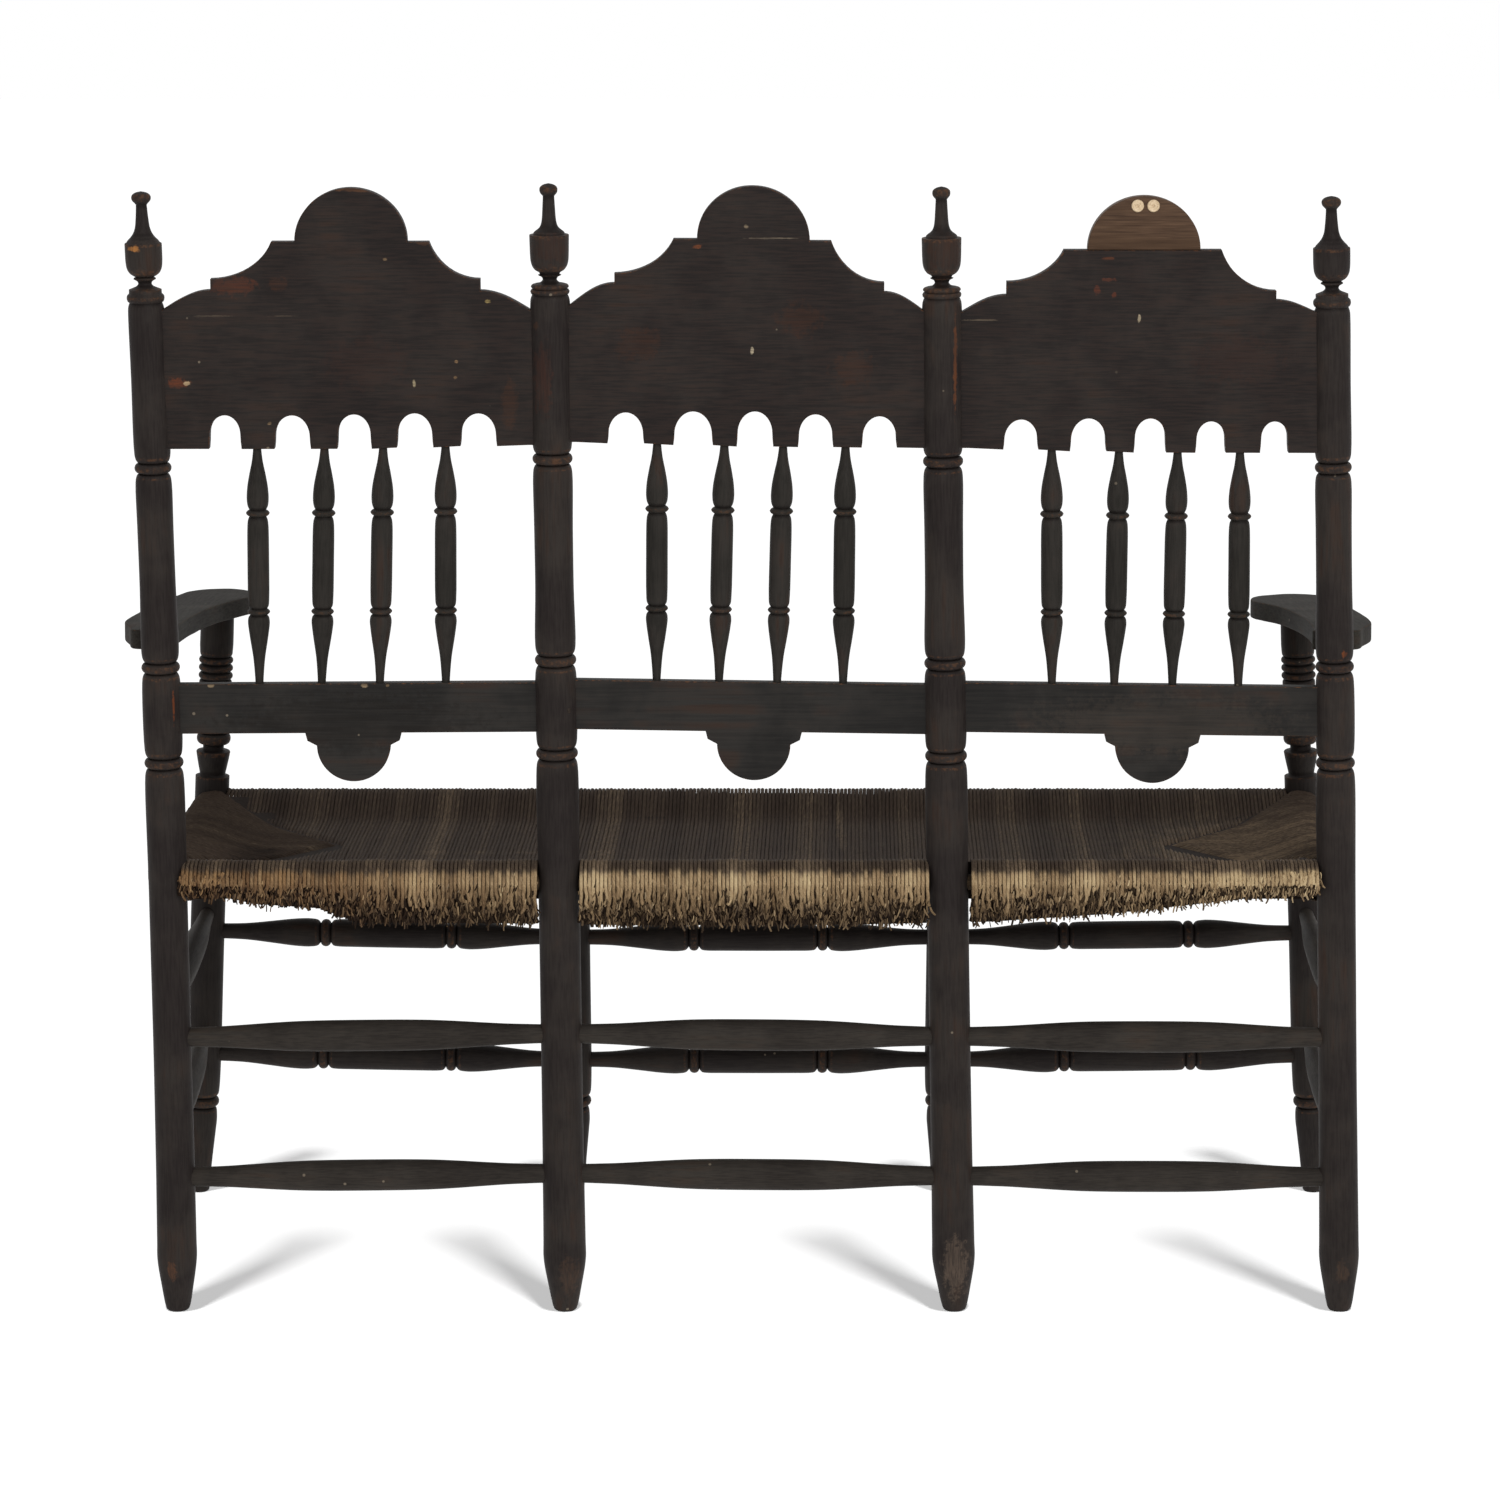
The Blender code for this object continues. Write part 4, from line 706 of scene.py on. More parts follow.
def ringed(visible, radius, endRadius):
    line = [(share * visible, endRadius + (radius - endRadius) * out) for share, out in stretchers["ringed"]]
    place, half = stretchers["ringAt"] * visible, stretchers["ringHalf"]
    line += torus(place, half, endRadius + 0.30 * (radius - endRadius), 0.97 * radius)
    line += [(place + half + 0.003, 0.90 * radius), (place + half + 0.008, 0.96 * radius)]
    return line + [(0.40 * visible, 0.98 * radius)]


def outerRadius(post, names):
    return names[0] if post in (0, 3) else names[1]


for row, rowName in enumerate(("Lower", "Upper")):
    for index, bay in enumerate(bays):
        posts = (index, index + 1)
        ends = [(rearAxis(p, stretchers["backHeights"][row] + stretchers["backRises"][p]),
                 outerRadius(p, rearPost["lower"])) for p in posts]
        rodPiece("backStretcher" + rowName + bay.title(), ends, swelled, stretchers["back"], stretcherPaint,
                 [f"back_stretcher_{rowName.lower()}_{bay}"])
        ends = [(frontAxis(p, stretchers["frontHeights"][row] + stretchers["frontRises"][p]),
                 outerRadius(p, (frontPost["radius"], frontPost["innerRadius"]))) for p in posts]
        rodPiece("frontStretcher" + rowName + bay.title(), ends, ringed, stretchers["front"], frontPaint,
                 [f"front_stretcher_{rowName.lower()}_{bay}"])
    for post, side in ((0, "left"), (3, "right")):
        ends = [(frontAxis(post, stretchers["sideFront"][row]), frontPost["radius"]),
                (rearAxis(post, stretchers["sideRear"][row]), rearPost["lower"][0])]
        rodPiece("sideStretcher" + rowName + side.title(), ends, swelled, stretchers["side"], stretcherPaint,
                 [f"side_stretcher_{rowName.lower()}_{side}"])
print("stretchers turned")


# crests, stay rails and spindles of the back
crest = {
    "thick": 0.015, "domeWide": 0.0557, "domeHigh": 0.0530, "shelf": 0.0778, "step": 0.1333, "shelfRise": 0.0675,
    "stepRise": 0.0305, "stepDrop": 0.011, "sweep": 70.0, "archRadius": 0.0165, "archHeight": 0.0345,
    "archRise": 1.25, "archFlare": 0.0010, "spacing": 0.0609, "shifts": (-0.0040, -0.0050, -0.0015),
    "shelfShift": 0.0010, "stepShifts": (0.0062, 0.0040, 0.0018), "archShifts": (-0.0042, -0.0066, -0.0108),
    "archPlaces": (2.11, 1.01, 0.0, -0.99, -2.03),
    "archWidths": ((0.92, 1.04, 0.98, 1.04, 1.04), (1.04, 1.13, 1.04, 1.00, 1.00), (1.00, 1.04, 0.92, 0.86, 0.80)),
    "archHeights": ((0.957, 0.957, 0.986, 1.014, 1.014), (1.043, 1.072, 1.072, 0.986, 0.928),
                    (0.838, 0.867, 0.867, 0.780, 0.780)),
    # how far each board of the racked back lies off its plain height, at its left, middle and right
    "lifts": {
        "foot": ((-0.0007, -0.0007, 0.0033), (0.0063, 0.0018, 0.0003), (0.0003, -0.0043, -0.0048)),
        "end": ((0.0001, 0.0001, 0.0001), (0.0051, 0.0024, -0.0003), (-0.0016, -0.0016, -0.0016)),
        "shoulder": ((0.0003, 0.0001, -0.0001), (0.0074, 0.0029, -0.0016), (-0.0045, -0.0070, -0.0095)),
        "step": ((0.0003, 0.0003, 0.0003), (0.0060, 0.0014, -0.0031), (-0.0024, -0.0069, -0.0114)),
        "shelf": ((0.0002, 0.0002, 0.0002), (0.0029, 0.0019, 0.0009), (-0.0079, -0.0079, -0.0079)),
    },
}
stay = {
    "thick": 0.0130, "high": 0.051, "dropWidth": 0.0485, "dropShoulder": 0.008, "dropRadius": 0.0370,
    "dropDepth": 0.050, "dropShifts": (0.004, -0.0015, -0.0107), "pegRises": {1: 0.0010, 2: -0.0080},
    "lifts": ((0.0002, 0.0012, 0.0023), (0.0050, 0.0024, -0.0002), (0.0020, -0.0003, -0.0026)),
}
spindle = {
    "radius": 0.0110, "tops": (1.60, 0.50, -0.46, -1.48), "feet": (1.53, 0.50, -0.46, -1.55),
    "footShifts": (0.0045, 0.0023, -0.0035),
    # height up the spindle and half width, as shares
    "line": (
        (0.000, 0.37), (0.035, 0.41), (0.110, 0.55), (0.185, 0.80), (0.235, 0.95), (0.262, 1.00), (0.283, 0.93),
        (0.293, 0.76, 1), (0.297, 0.90), (0.306, 1.04), (0.315, 0.90), (0.319, 0.76, 1), (0.330, 0.90),
        (0.350, 0.96), (0.520, 0.99), (0.680, 0.95), (0.700, 0.88), (0.712, 0.76, 1), (0.716, 0.92),
        (0.726, 1.08), (0.736, 0.92), (0.740, 0.76, 1), (0.756, 0.92), (0.785, 1.00), (0.835, 0.94),
        (0.890, 0.74), (0.945, 0.50), (1.000, 0.37),
    ),
}


def upRake(rise):
    return rise * math.hypot(1.0, places["rearRake"])


def bayMiddle(index, height):
    return 0.5 * (rearAxis(index, height).x + rearAxis(index + 1, height).x)


def boardCentre(index, height, shifts):
    return bayMiddle(index, height) + shifts[index]


def boardEnds(index, height):
    left, right = rearAxis(index, height).x, rearAxis(index + 1, height).x
    inside = [outerRadius(post, rearPost["upper"]) - places["tenon"] for post in (index, index + 1)]
    return left - inside[0], right + inside[1]


def liftAt(index, lifts, x):
    # how far a board lies off its plain height at x
    left, middle, right = lifts[index]
    half = 0.5 * places["bay"] - rearPost["lower"][1] - 0.004
    off = (x - bayMiddle(index, places["crestLow"])) / half
    return middle + min(1.0, abs(off)) * ((left if off > 0.0 else right) - middle)


def crestSide(index, centre, face, outward):
    # the top edge from a post inwards: a round shoulder, a step, a hollow up to the shelf
    side = 1 - int(outward)
    end, shoulder, step, shelf = (
        places["crestEnd"] + rise + crest["lifts"][level][index][side]
        for level, rise in (("end", 0.0), ("shoulder", crest["stepRise"] - crest["stepDrop"]),
                            ("step", crest["stepRise"]), ("shelf", crest["shelfRise"])))
    edge = centre + crest["stepShifts"][index] + outward * crest["step"]
    corner = centre + crest["shelfShift"] + outward * crest["shelf"]
    points = []
    for count in range(13):
        share = count / 12
        points.append((face + (edge - face) * share, end + (shoulder - end) * math.sin(0.5 * math.pi * share)))
    points.append((edge, step))
    sweep = math.radians(crest["sweep"])
    for count in range(1, 13):
        angle = sweep * count / 12
        out, up = math.sin(angle) / math.sin(sweep), (1 - math.cos(angle)) / (1 - math.cos(sweep))
        points.append((edge + (corner - edge) * out, step + (shelf - step) * up))
    return points


def archLine(middle, foot, radius, high):
    rise = crest["archRise"] * radius
    spring = high - rise
    flare = crest["archFlare"]
    right = [(middle + radius + flare, foot), (middle + radius + 0.3 * flare, foot + 0.5 * (spring - foot))]
    left = [(2 * middle - x, z) for x, z in reversed(right)]
    head = [(x, spring + rise * z / radius) for x, z in arc((middle, 0.0), radius, 0.0, 180.0, 20)]
    return right + head + left


def crestOutline(index, withDome):
    low = places["crestLow"]
    high = low + places["crestEnd"]
    lifts = crest["lifts"]
    centre = boardCentre(index, low, crest["shifts"])
    archCentre = boardCentre(index, low, crest["archShifts"])
    leftLow, rightLow = boardEnds(index, low)
    leftHigh, rightHigh = boardEnds(index, high)
    leftFoot, _, rightFoot = lifts["foot"][index]
    leftEnd, _, rightEnd = (places["crestEnd"] + lift for lift in lifts["end"][index])
    points = [(leftLow, leftFoot), (leftLow - places["sunk"], leftFoot)]
    for share, wide, tall in zip(crest["archPlaces"], crest["archWidths"][index], crest["archHeights"][index]):
        middle = archCentre + share * crest["spacing"]
        foot = liftAt(index, lifts["foot"], middle)
        points += archLine(middle, foot, crest["archRadius"] * wide, crest["archHeight"] * tall)
    points += [(rightLow + places["sunk"], rightFoot), (rightLow, rightFoot), (rightHigh, rightEnd)]
    rightFace = rearAxis(index + 1, high).x + outerRadius(index + 1, rearPost["upper"])
    leftFace = rearAxis(index, high).x - outerRadius(index, rearPost["upper"])
    points += crestSide(index, centre, rightFace, -1.0)
    if withDome:
        left, _, right = (places["crestEnd"] + crest["shelfRise"] + lift for lift in lifts["shelf"][index])
        for x, z in arc((0.0, 0.0), crest["domeWide"], 180.0, 0.0, 40):
            shelf = 0.5 * (left + right) + 0.5 * x / crest["domeWide"] * (left - right)
            points.append((centre + x, shelf + crest["domeHigh"] * z / crest["domeWide"]))
    points += reversed(crestSide(index, centre, leftFace, 1.0))
    points.append((leftHigh, leftEnd))
    return [(x, upRake(z)) for x, z in points]


crestPlane = backPlane(places["crestLow"])
for index, bay in enumerate(bays):
    shapedBoard("crestBoard" + bay.title(), crestOutline(index, bay != "right"), crest["thick"], crestPlane,
                crestPaint, ["crest_rail_" + bay])

lobeBase = places["crestEnd"] + crest["shelfRise"] + crest["lifts"]["shelf"][2][1]
lobeCentre = boardCentre(2, places["crestLow"], crest["shifts"])
rim = arc((lobeCentre, 0.0), crest["domeWide"], 180.0, 0.0, 48)
rim = [(x, upRake(lobeBase + 0.0003 + z * crest["domeHigh"] / crest["domeWide"])) for x, z in rim]
shapedBoard("crestLobe", rim, crest["thick"], crestPlane, lobeWood, ["crest_lobe_right"])

disc = {
    "radius": 0.0062, "thick": 0.0020, "spacing": 0.0155, "offset": 0.0006, "below": 0.0092, "pin": 0.003,
    # how far out of the face, and share of the radius: a flat turned edge round a dished middle
    "line": ((-0.0001, 0.19, 1), (0.0000, 0.96, 1), (0.0006, 1.00), (0.0014, 0.97), (0.0019, 0.86), (0.0017, 0.74),
             (0.0014, 0.60), (0.0014, 0.40), (0.0013, 0.22, 1), (0.0004, 0.20, 1), (0.0004, 0.02)),
}
for side, name in ((0.5, "left"), (-0.5, "right")):
    x = lobeCentre - disc["offset"] + side * disc["spacing"]
    z = upRake(lobeBase + crest["domeHigh"] - disc["below"])
    face = 0.5 * crest["thick"]
    inner, outer = (crestPlane @ Vector((x, y, z)) for y in (face - disc["pin"], face + disc["thick"]))
    line = [(0.0, 0.19 * disc["radius"])]
    line += [(disc["pin"] + out, share * disc["radius"], *mark) for out, share, *mark in disc["line"]]
    turned("boneDisc" + name.title(), inner, outer, line, boneWhite, ["lobe_disc_" + name],
           uneven=0.002)


def stayOutline(index):
    centre = boardCentre(index, places["stayLow"], stay["dropShifts"])
    leftLow, rightLow = boardEnds(index, places["stayLow"])
    leftHigh, rightHigh = boardEnds(index, places["stayTop"])
    hub = stay["dropRadius"] - stay["dropDepth"]
    wide, drop, sunk = stay["dropWidth"], stay["dropShoulder"], places["sunk"]
    points = [(leftHigh - sunk, stay["high"]), (leftHigh, stay["high"]), (leftLow, 0.0), (leftLow - sunk, 0.0)]
    points += [(centre + wide, 0.0), (centre + wide - 0.25 * drop, -drop)]
    points += arc((centre, hub), stay["dropRadius"], 0.0, -180.0, 36)
    points += [(centre - wide + 0.25 * drop, -drop), (centre - wide, 0.0)]
    points += [(rightLow + sunk, 0.0), (rightLow, 0.0), (rightHigh, stay["high"]), (rightHigh + sunk, stay["high"])]
    return [(x, upRake(z + liftAt(index, stay["lifts"], x))) for x, z in points]


for index, bay in enumerate(bays):
    shapedBoard("stayRail" + bay.title(), stayOutline(index), stay["thick"], backPlane(places["stayLow"]),
                stayPaint, ["stay_rail_" + bay])
    footMiddle = boardCentre(index, places["stayTop"], spindle["footShifts"])
    topMiddle = boardCentre(index, places["crestLow"], crest["archShifts"])
    for spot in range(4):
        footX = footMiddle + spindle["feet"][spot] * crest["spacing"]
        topX = topMiddle + spindle["tops"][spot] * crest["spacing"]
        footZ = places["stayTop"] + liftAt(index, stay["lifts"], footX)
        topZ = places["crestLow"] + liftAt(index, crest["lifts"]["foot"], topX)
        foot, top = (Vector((x, places["rearRake"] * z + places["origin"][1], z))
                     for x, z in ((footX, footZ), (topX, topZ)))
        direction = (top - foot).normalized()
        length = (top - foot).length
        sunk = 0.5 * places["tenon"]
        line = [(0.0, 0.0040)]
        line += [(sunk + share * length, out * spindle["radius"], *mark) for share, out, *mark in spindle["line"]]
        line.append((length + 2 * sunk, 0.0040))
        turned(f"spindle{bay.title()}{spot + 1}", foot - direction * sunk, top + direction * sunk, line,
               spindlePaint, [f"spindle_{bay}_{spot + 1}"], 24)

for post, outward, name in ((1, -1.0, "left"), (2, 1.0, "right")):
    height = 0.5 * (places["stayLow"] + places["stayTop"]) + stay["pegRises"][post]
    behind = backPlane(height).to_3x3() @ Vector((0.0, 1.0, 0.0))
    fromAxis = rearPost["upper"][1] - places["tenon"] + 0.0045
    middle = rearAxis(post, height) + Vector((outward * fromAxis, 0.0, 0.0))
    face = math.sqrt(rearPost["lower"][1] ** 2 - fromAxis ** 2) + 0.0004
    line = [(0.0, 0.0030), (0.024, 0.0032), (0.0255, 0.0030), (0.0262, 0.0018), (0.0264, 0.0004)]
    turned("stayPeg" + name.title(), middle + behind * (face - 0.026), middle + behind * face, line, pegWood,
           ["peg_stay_" + name], 20)
print("back boards and spindles made")


# arms
arm = {
    "overhang": 0.050, "scribe": 0.010, "outer": 0.0505, "inners": {0: 0.0430, 3: 0.0530},
    # share along the arm, and share of the reach outwards or inwards
    "line": (
        (0.000, 0.44), (0.080, 0.68), (0.190, 0.94), (0.300, 1.00), (0.430, 0.985), (0.560, 0.93), (0.710, 0.86),
        (0.850, 0.77), (0.910, 0.70), (0.955, 0.54), (0.988, 0.26), (1.000, -0.02), (0.985, -0.34), (0.945, -0.70),
        (0.890, -0.93), (0.805, -1.00), (0.730, -0.86), (0.670, -0.70), (0.590, -0.52), (0.480, -0.39),
        (0.370, -0.32), (0.240, -0.29), (0.060, -0.32), (0.000, -0.34),
    ),
}


def closedCurve(points, count):
    total = len(points)
    curve = []
    for index in range(total):
        a, b, c, d = (Vector(points[(index + shift) % total]) for shift in (-1, 0, 1, 2))
        for step in range(count):
            t = step / count
            square, cube = (2 * a - 5 * b + 4 * c - d) * t**2, (3 * b - a - 3 * c + d) * t**3
            curve.append(0.5 * (2 * b + (c - a) * t + square + cube))
    return curve


for post, side in ((0, "left"), (3, "right")):
    outward = 1.0 if post == 0 else -1.0
    rear = rearAxis(post, frontPost["armHeights"][post]).xy
    front = frontAxis(post, armJoint(post)).xy
    direction = (front - rear).normalized()
    length = (front - rear).length + arm["overhang"] - arm["scribe"]
    outline = []
    for share, out in arm["line"]:
        reach = out * (arm["outer"] if out > 0 else arm["inners"][post])
        outline.append(rear + direction * (arm["scribe"] + share * length) + Vector((outward * reach, 0.0)))
    outline = [(point.x, point.y) for point in closedCurve(outline, 6)]
    slope = math.atan(frontPost["armFalls"][post])
    level = armTop(post, 0.0) - 0.5 * frontPost["armThick"]
    # the board's own X and Z lie in plan, its Y is up
    plane = Matrix.Translation((0.0, 0.0, level)) @ Matrix.Rotation(slope, 4, "X")
    plane = plane @ Matrix.Rotation(math.radians(90), 4, "X") @ Matrix.Diagonal((1.0, 1.0, -1.0, 1.0))
    shapedBoard("arm" + side.title(), outline, frontPost["armThick"], plane, armPaint,
                ["arm_" + side], 0.0018, lambda spot, offset: tuple(offset + spot))
print("arms made")


# the rush seat: every strand a round twisted cord laid beside the next
rush = {
    "pitch": 0.0041, "rim": 0.0213, "core": 0.0103, "sag": 0.012, "blend": 0.090, "rise": 0.012, "belly": 0.004,
    "sideRim": 0.0175, "sideRise": 0.004, "sideAbove": 0.0015, "sideBelow": 0.001, "railCore": 0.0360,
    "sides": 6, "turn": 300.0, "uneven": 0.12, "slim": 0.07, "wander": 0.0004, "swell": 0.0008,
    # where the strands from front and side meet on the diagonal, and how they dive there
    "apex": 0.160, "sideApex": 0.205, "reach": 0.237, "beyond": 0.02, "tuck": 0.004, "sideTuck": 0.005,
    "topSteps": 26, "fullRun": 0.47,
    # clearances from the posts and legs
    "fromFront": 0.0205, "fromRear": 0.0215, "fromLeg": 0.0235, "besidePost": 0.0232, "postGap": 0.0230,
    # height of a strand as a share of its width
    "round": 0.42, "flat": 0.32,
    # stains and rubbed places on the top: x, y, half width, half depth, how dark (or pale, below 0)
    "stains": ((0.517, 0.096, 0.026, 0.060, 0.9), (0.430, 0.130, 0.090, 0.070, 0.25),
               (-0.52, 0.05, 0.13, 0.16, -0.8), (0.250, 0.045, 0.125, 0.004, -0.5),
               (-0.095, -0.090, 0.004, 0.130, -0.9),
               (0.500, 0.160, 0.004, 0.010, -0.8), (0.466, 0.030, 0.005, 0.010, -0.8)),
}
# the frayed ends behind the rear rail; a pair gives the least and the most of a random draw
fray = {
    # low edge: place along the settee, height
    "low": ((-0.62, 0.447), (-0.50, 0.440), (-0.36, 0.424), (-0.24, 0.416), (-0.10, 0.413), (0.10, 0.412),
            (0.24, 0.414), (0.40, 0.415), (0.44, 0.430), (0.50, 0.434), (0.53, 0.440), (0.62, 0.444)),
    "cut": (0.008, 0.026), "sway": (0.0004, 0.0012), "drift": (-0.0018, 0.0018), "inward": (0.0, 0.004),
    "curls": (0.0, 0.0, 1.0, -1.0), "curlOut": 0.0022, "curlUp": 0.0015,
    # the turns behind the outer ones, and the imported mass behind those, darkened with painted shade
    "innerWidth": 1.25, "innerLift": 0.0028, "innerGap": 0.0030, "innerShade": 1.3, "innerClear": 0.0010,
    "packedWidth": 2.4, "packedAt": 0.0135, "packedShade": -1.2, "packedClear": 0.0036,
    # the tangle below the rail, and the loose fibres over it
    "tufts": 10, "tuftRise": (0.005, 0.027), "tuftLength": (0.005, 0.011), "tuftLean": (-0.45, 0.45),
    "tuftBend": (-0.8, 0.8), "tuftDepth": (-0.0030, 0.0010), "tuftWidth": (0.30, 0.62), "tuftTone": (-0.6, 1.2),
    "tuftGold": (0.5, 0.95), "aside": (-0.003, 0.003),
    "fibres": 6, "fibreTop": 0.013, "fibreLength": (0.003, 0.009), "fibreLean": (-0.30, 0.30),
    "fibreWidth": (0.22, 0.45), "fibreTone": (-1.8, 1.6), "fibreGold": (0.4, 1.0),
    # straw gold begins this far behind the rail's middle, over this distance
    "goldFrom": 0.0125, "goldOver": 0.0085, "late": 0.0014, "lateLoss": 0.22,
}
frontRail, seatHigh = places["frontRail"], places["seat"]
yFront, yRear = frontAxis(0, frontRail).y, rearAxis(0, seatHigh).y
acrossX, acrossY = Vector((1.0, 0.0, 0.0)), Vector((0.0, 1.0, 0.0))


def ease(share):
    share = min(max(share, 0.0), 1.0)
    return share * share * (3.0 - 2.0 * share)


def sideX(side, share):
    post = 0 if side > 0 else 3
    front, rear = frontAxis(post, frontRail).x, rearAxis(post, seatHigh).x
    return front + (rear - front) * share


def sheetHeight(x, y, upper):
    # the middle of the strands on the top or the underside
    share = (y - yFront) / (yRear - yFront)
    inset = min(y - yFront, yRear - y, sideX(1, share) - x, x - sideX(-1, share))
    soft = ease(inset / rush["blend"])
    middle = frontRail + rush["rise"] * share - rush["sag"] * soft
    half = rush["rim"] + (rush["core"] - rush["rim"]) * soft
    return middle + (half if upper else -half - rush["belly"] * soft)


def fringeLow(x):
    for (x0, z0), (x1, z1) in zip(fray["low"], fray["low"][1:]):
        if x <= x1:
            return z0 + (z1 - z0) * (x - x0) / (x1 - x0)
    return fray["low"][-1][1]


def stainAt(spot):
    dark = 0.0
    for x, y, wide, deep, share in rush["stains"]:
        far = math.hypot((spot.x - x) / wide, (spot.y - y) / deep) + 0.5 * noise.noise(spot * 40)
        dark += share * ease(1.5 - far)
    return dark if spot.z > seatHigh - 0.02 else 0.0


def strand(mesh, path, width, tone, golds, seed):
    # one cord along a path: its width, the level way across it, and its height as a share of the width
    points, faces, values = mesh
    wide, across, flat = width
    sides, base, count, run = rush["sides"], len(points), len(path), 0.0
    hue = 0.5 * ((seed * 7.3) % 1.0 - 0.5)
    for index, (spot, gold) in enumerate(zip(path, golds)):
        ahead = (path[min(index + 1, count - 1)] - path[max(index - 1, 0)]).normalized()
        normal = ahead.cross(across).normalized()
        level = normal.cross(ahead).normalized()
        if index:
            run += (spot - path[index - 1]).length
        # where it bends over the rear rail, and how far below the rail it hangs
        ridge = ease((spot.y - (yRear - 0.014)) / 0.012) if spot.z > seatHigh else 0.0
        hung = ease((seatHigh - spot.z) / 0.040) if gold > 0.4 else 0.0
        fat = wide * (1 + rush["uneven"] * noise.noise(Vector((seed, run * 60, 0.0))))
        fat *= 0.8 if index in (0, count - 1) else 1.0
        fat *= 1.0 - rush["slim"] * max(gold, ridge)
        for side in range(sides):
            angle = 2 * math.pi * (side + 0.5) / sides
            points.append(spot + level * (0.5 * fat * math.cos(angle)) + normal * (flat * fat * math.sin(angle)))
            twist = angle + run * rush["turn"]
            values["grainAt"].append((seed + 0.002 * math.cos(twist), 0.002 * math.sin(twist), run))
            values["tone"].append(tone - stainAt(spot) - 0.65 * hung + 0.45 * ridge)
            values["gold"].append(gold * (1.0 - 0.25 * hung))
            values["pale"].append(ease((0.54 - spot.x) / 0.40) + hue)
    faces += ringFaces(count, sides, base)
    faces.append(tuple(base + side for side in reversed(range(sides))))
    faces.append(tuple(base + (count - 1) * sides + side for side in range(sides)))


def hanging(x, y, top, low, dice):
    # an end that hangs behind the rear rail, waving a little, some of them curled at the tip
    phase, sway = dice.uniform(0.0, 6.28), dice.uniform(*fray["sway"])
    drift, curl, inward = dice.uniform(*fray["drift"]), dice.choice(fray["curls"]), dice.uniform(*fray["inward"])
    path = []
    for step in range(1, 9):
        share = step / 8
        z = top + (low - top) * share
        tip = max(0.0, share - 0.75) * 4
        wave = sway * min(1.0, 2 * share) * math.sin(phase + 260 * z)
        along = drift * share + wave + fray["curlOut"] * curl * tip
        path.append(Vector((x + along, y - inward * share, z + fray["curlUp"] * abs(curl) * tip)))
    return path


def frayedEnd(mesh, x, low, seed, dice):
    # a short curled end in the tangle below the rail
    length, lean, bend = (dice.uniform(*fray[key]) for key in ("tuftLength", "tuftLean", "tuftBend"))
    spot = Vector((x + dice.uniform(*fray["aside"]), yRear + rush["rim"] + dice.uniform(*fray["tuftDepth"]), low))
    path = []
    for step in range(5):
        path.append(spot.copy())
        angle = lean + bend * step / 4
        spot += Vector((math.sin(angle), -0.10, -math.cos(angle))) * (length / 4)
    width = (rush["pitch"] * dice.uniform(*fray["tuftWidth"]), acrossX, rush["round"])
    strand(mesh, path, width, dice.uniform(*fray["tuftTone"]), [dice.uniform(*fray["tuftGold"])] * 5, seed)


def looseFibre(mesh, x, low, seed, dice):
    # a short thin fibre that has worked loose from the strands over the rear rail
    top = seatHigh + fray["fibreTop"]
    z = top - (top - low - 0.006) * dice.random()
    over = math.asin(min(max((z - seatHigh) / rush["rim"], 0.0), 1.0))
    spot = Vector((x + dice.uniform(*fray["aside"]), yRear + (rush["rim"] + 0.0004) * math.cos(over), z))
    length, lean, path = dice.uniform(*fray["fibreLength"]), dice.uniform(*fray["fibreLean"]), []
    for step in range(4):
        path.append(spot.copy())
        spot += Vector((math.sin(lean + 0.2 * step), 0.5 * math.sin(over) + 0.12, -math.cos(over))) * (length / 4)
    shade, gold, wide = (dice.uniform(*fray[key]) for key in ("fibreTone", "fibreGold", "fibreWidth"))
    strand(mesh, path, (rush["pitch"] * wide, acrossX, 0.5), shade, [gold] * 4, seed)


def overRail(x, lift, turns):
    reach = rush["rim"] + lift
    return [Vector((x, yRear + reach * math.cos(angle), seatHigh + reach * math.sin(angle)))
            for angle in map(math.radians, turns)]


def goldOf(path, lateness):
    # dusty where it is sat on, straw-coloured from a little below the rear rail's top
    start = yRear + fray["goldFrom"] + fray["late"] * lateness
    most = 1.0 - fray["lateLoss"] * max(0.0, lateness)
    return [ease((spot.y - start) / fray["goldOver"]) * most for spot in path]


def besidePost(x, posts):
    # the strand next to a post lies close against it
    for post in posts:
        if abs(abs(x - post) - rush["besidePost"]) < 0.53 * rush["pitch"]:
            return post + math.copysign(rush["besidePost"], x - post)
    return x


def clearOf(x, posts, more):
    gap = rush["besidePost"] + more
    for post in posts:
        if abs(x - post) < gap:
            return post + math.copysign(gap, x - post)
    return x


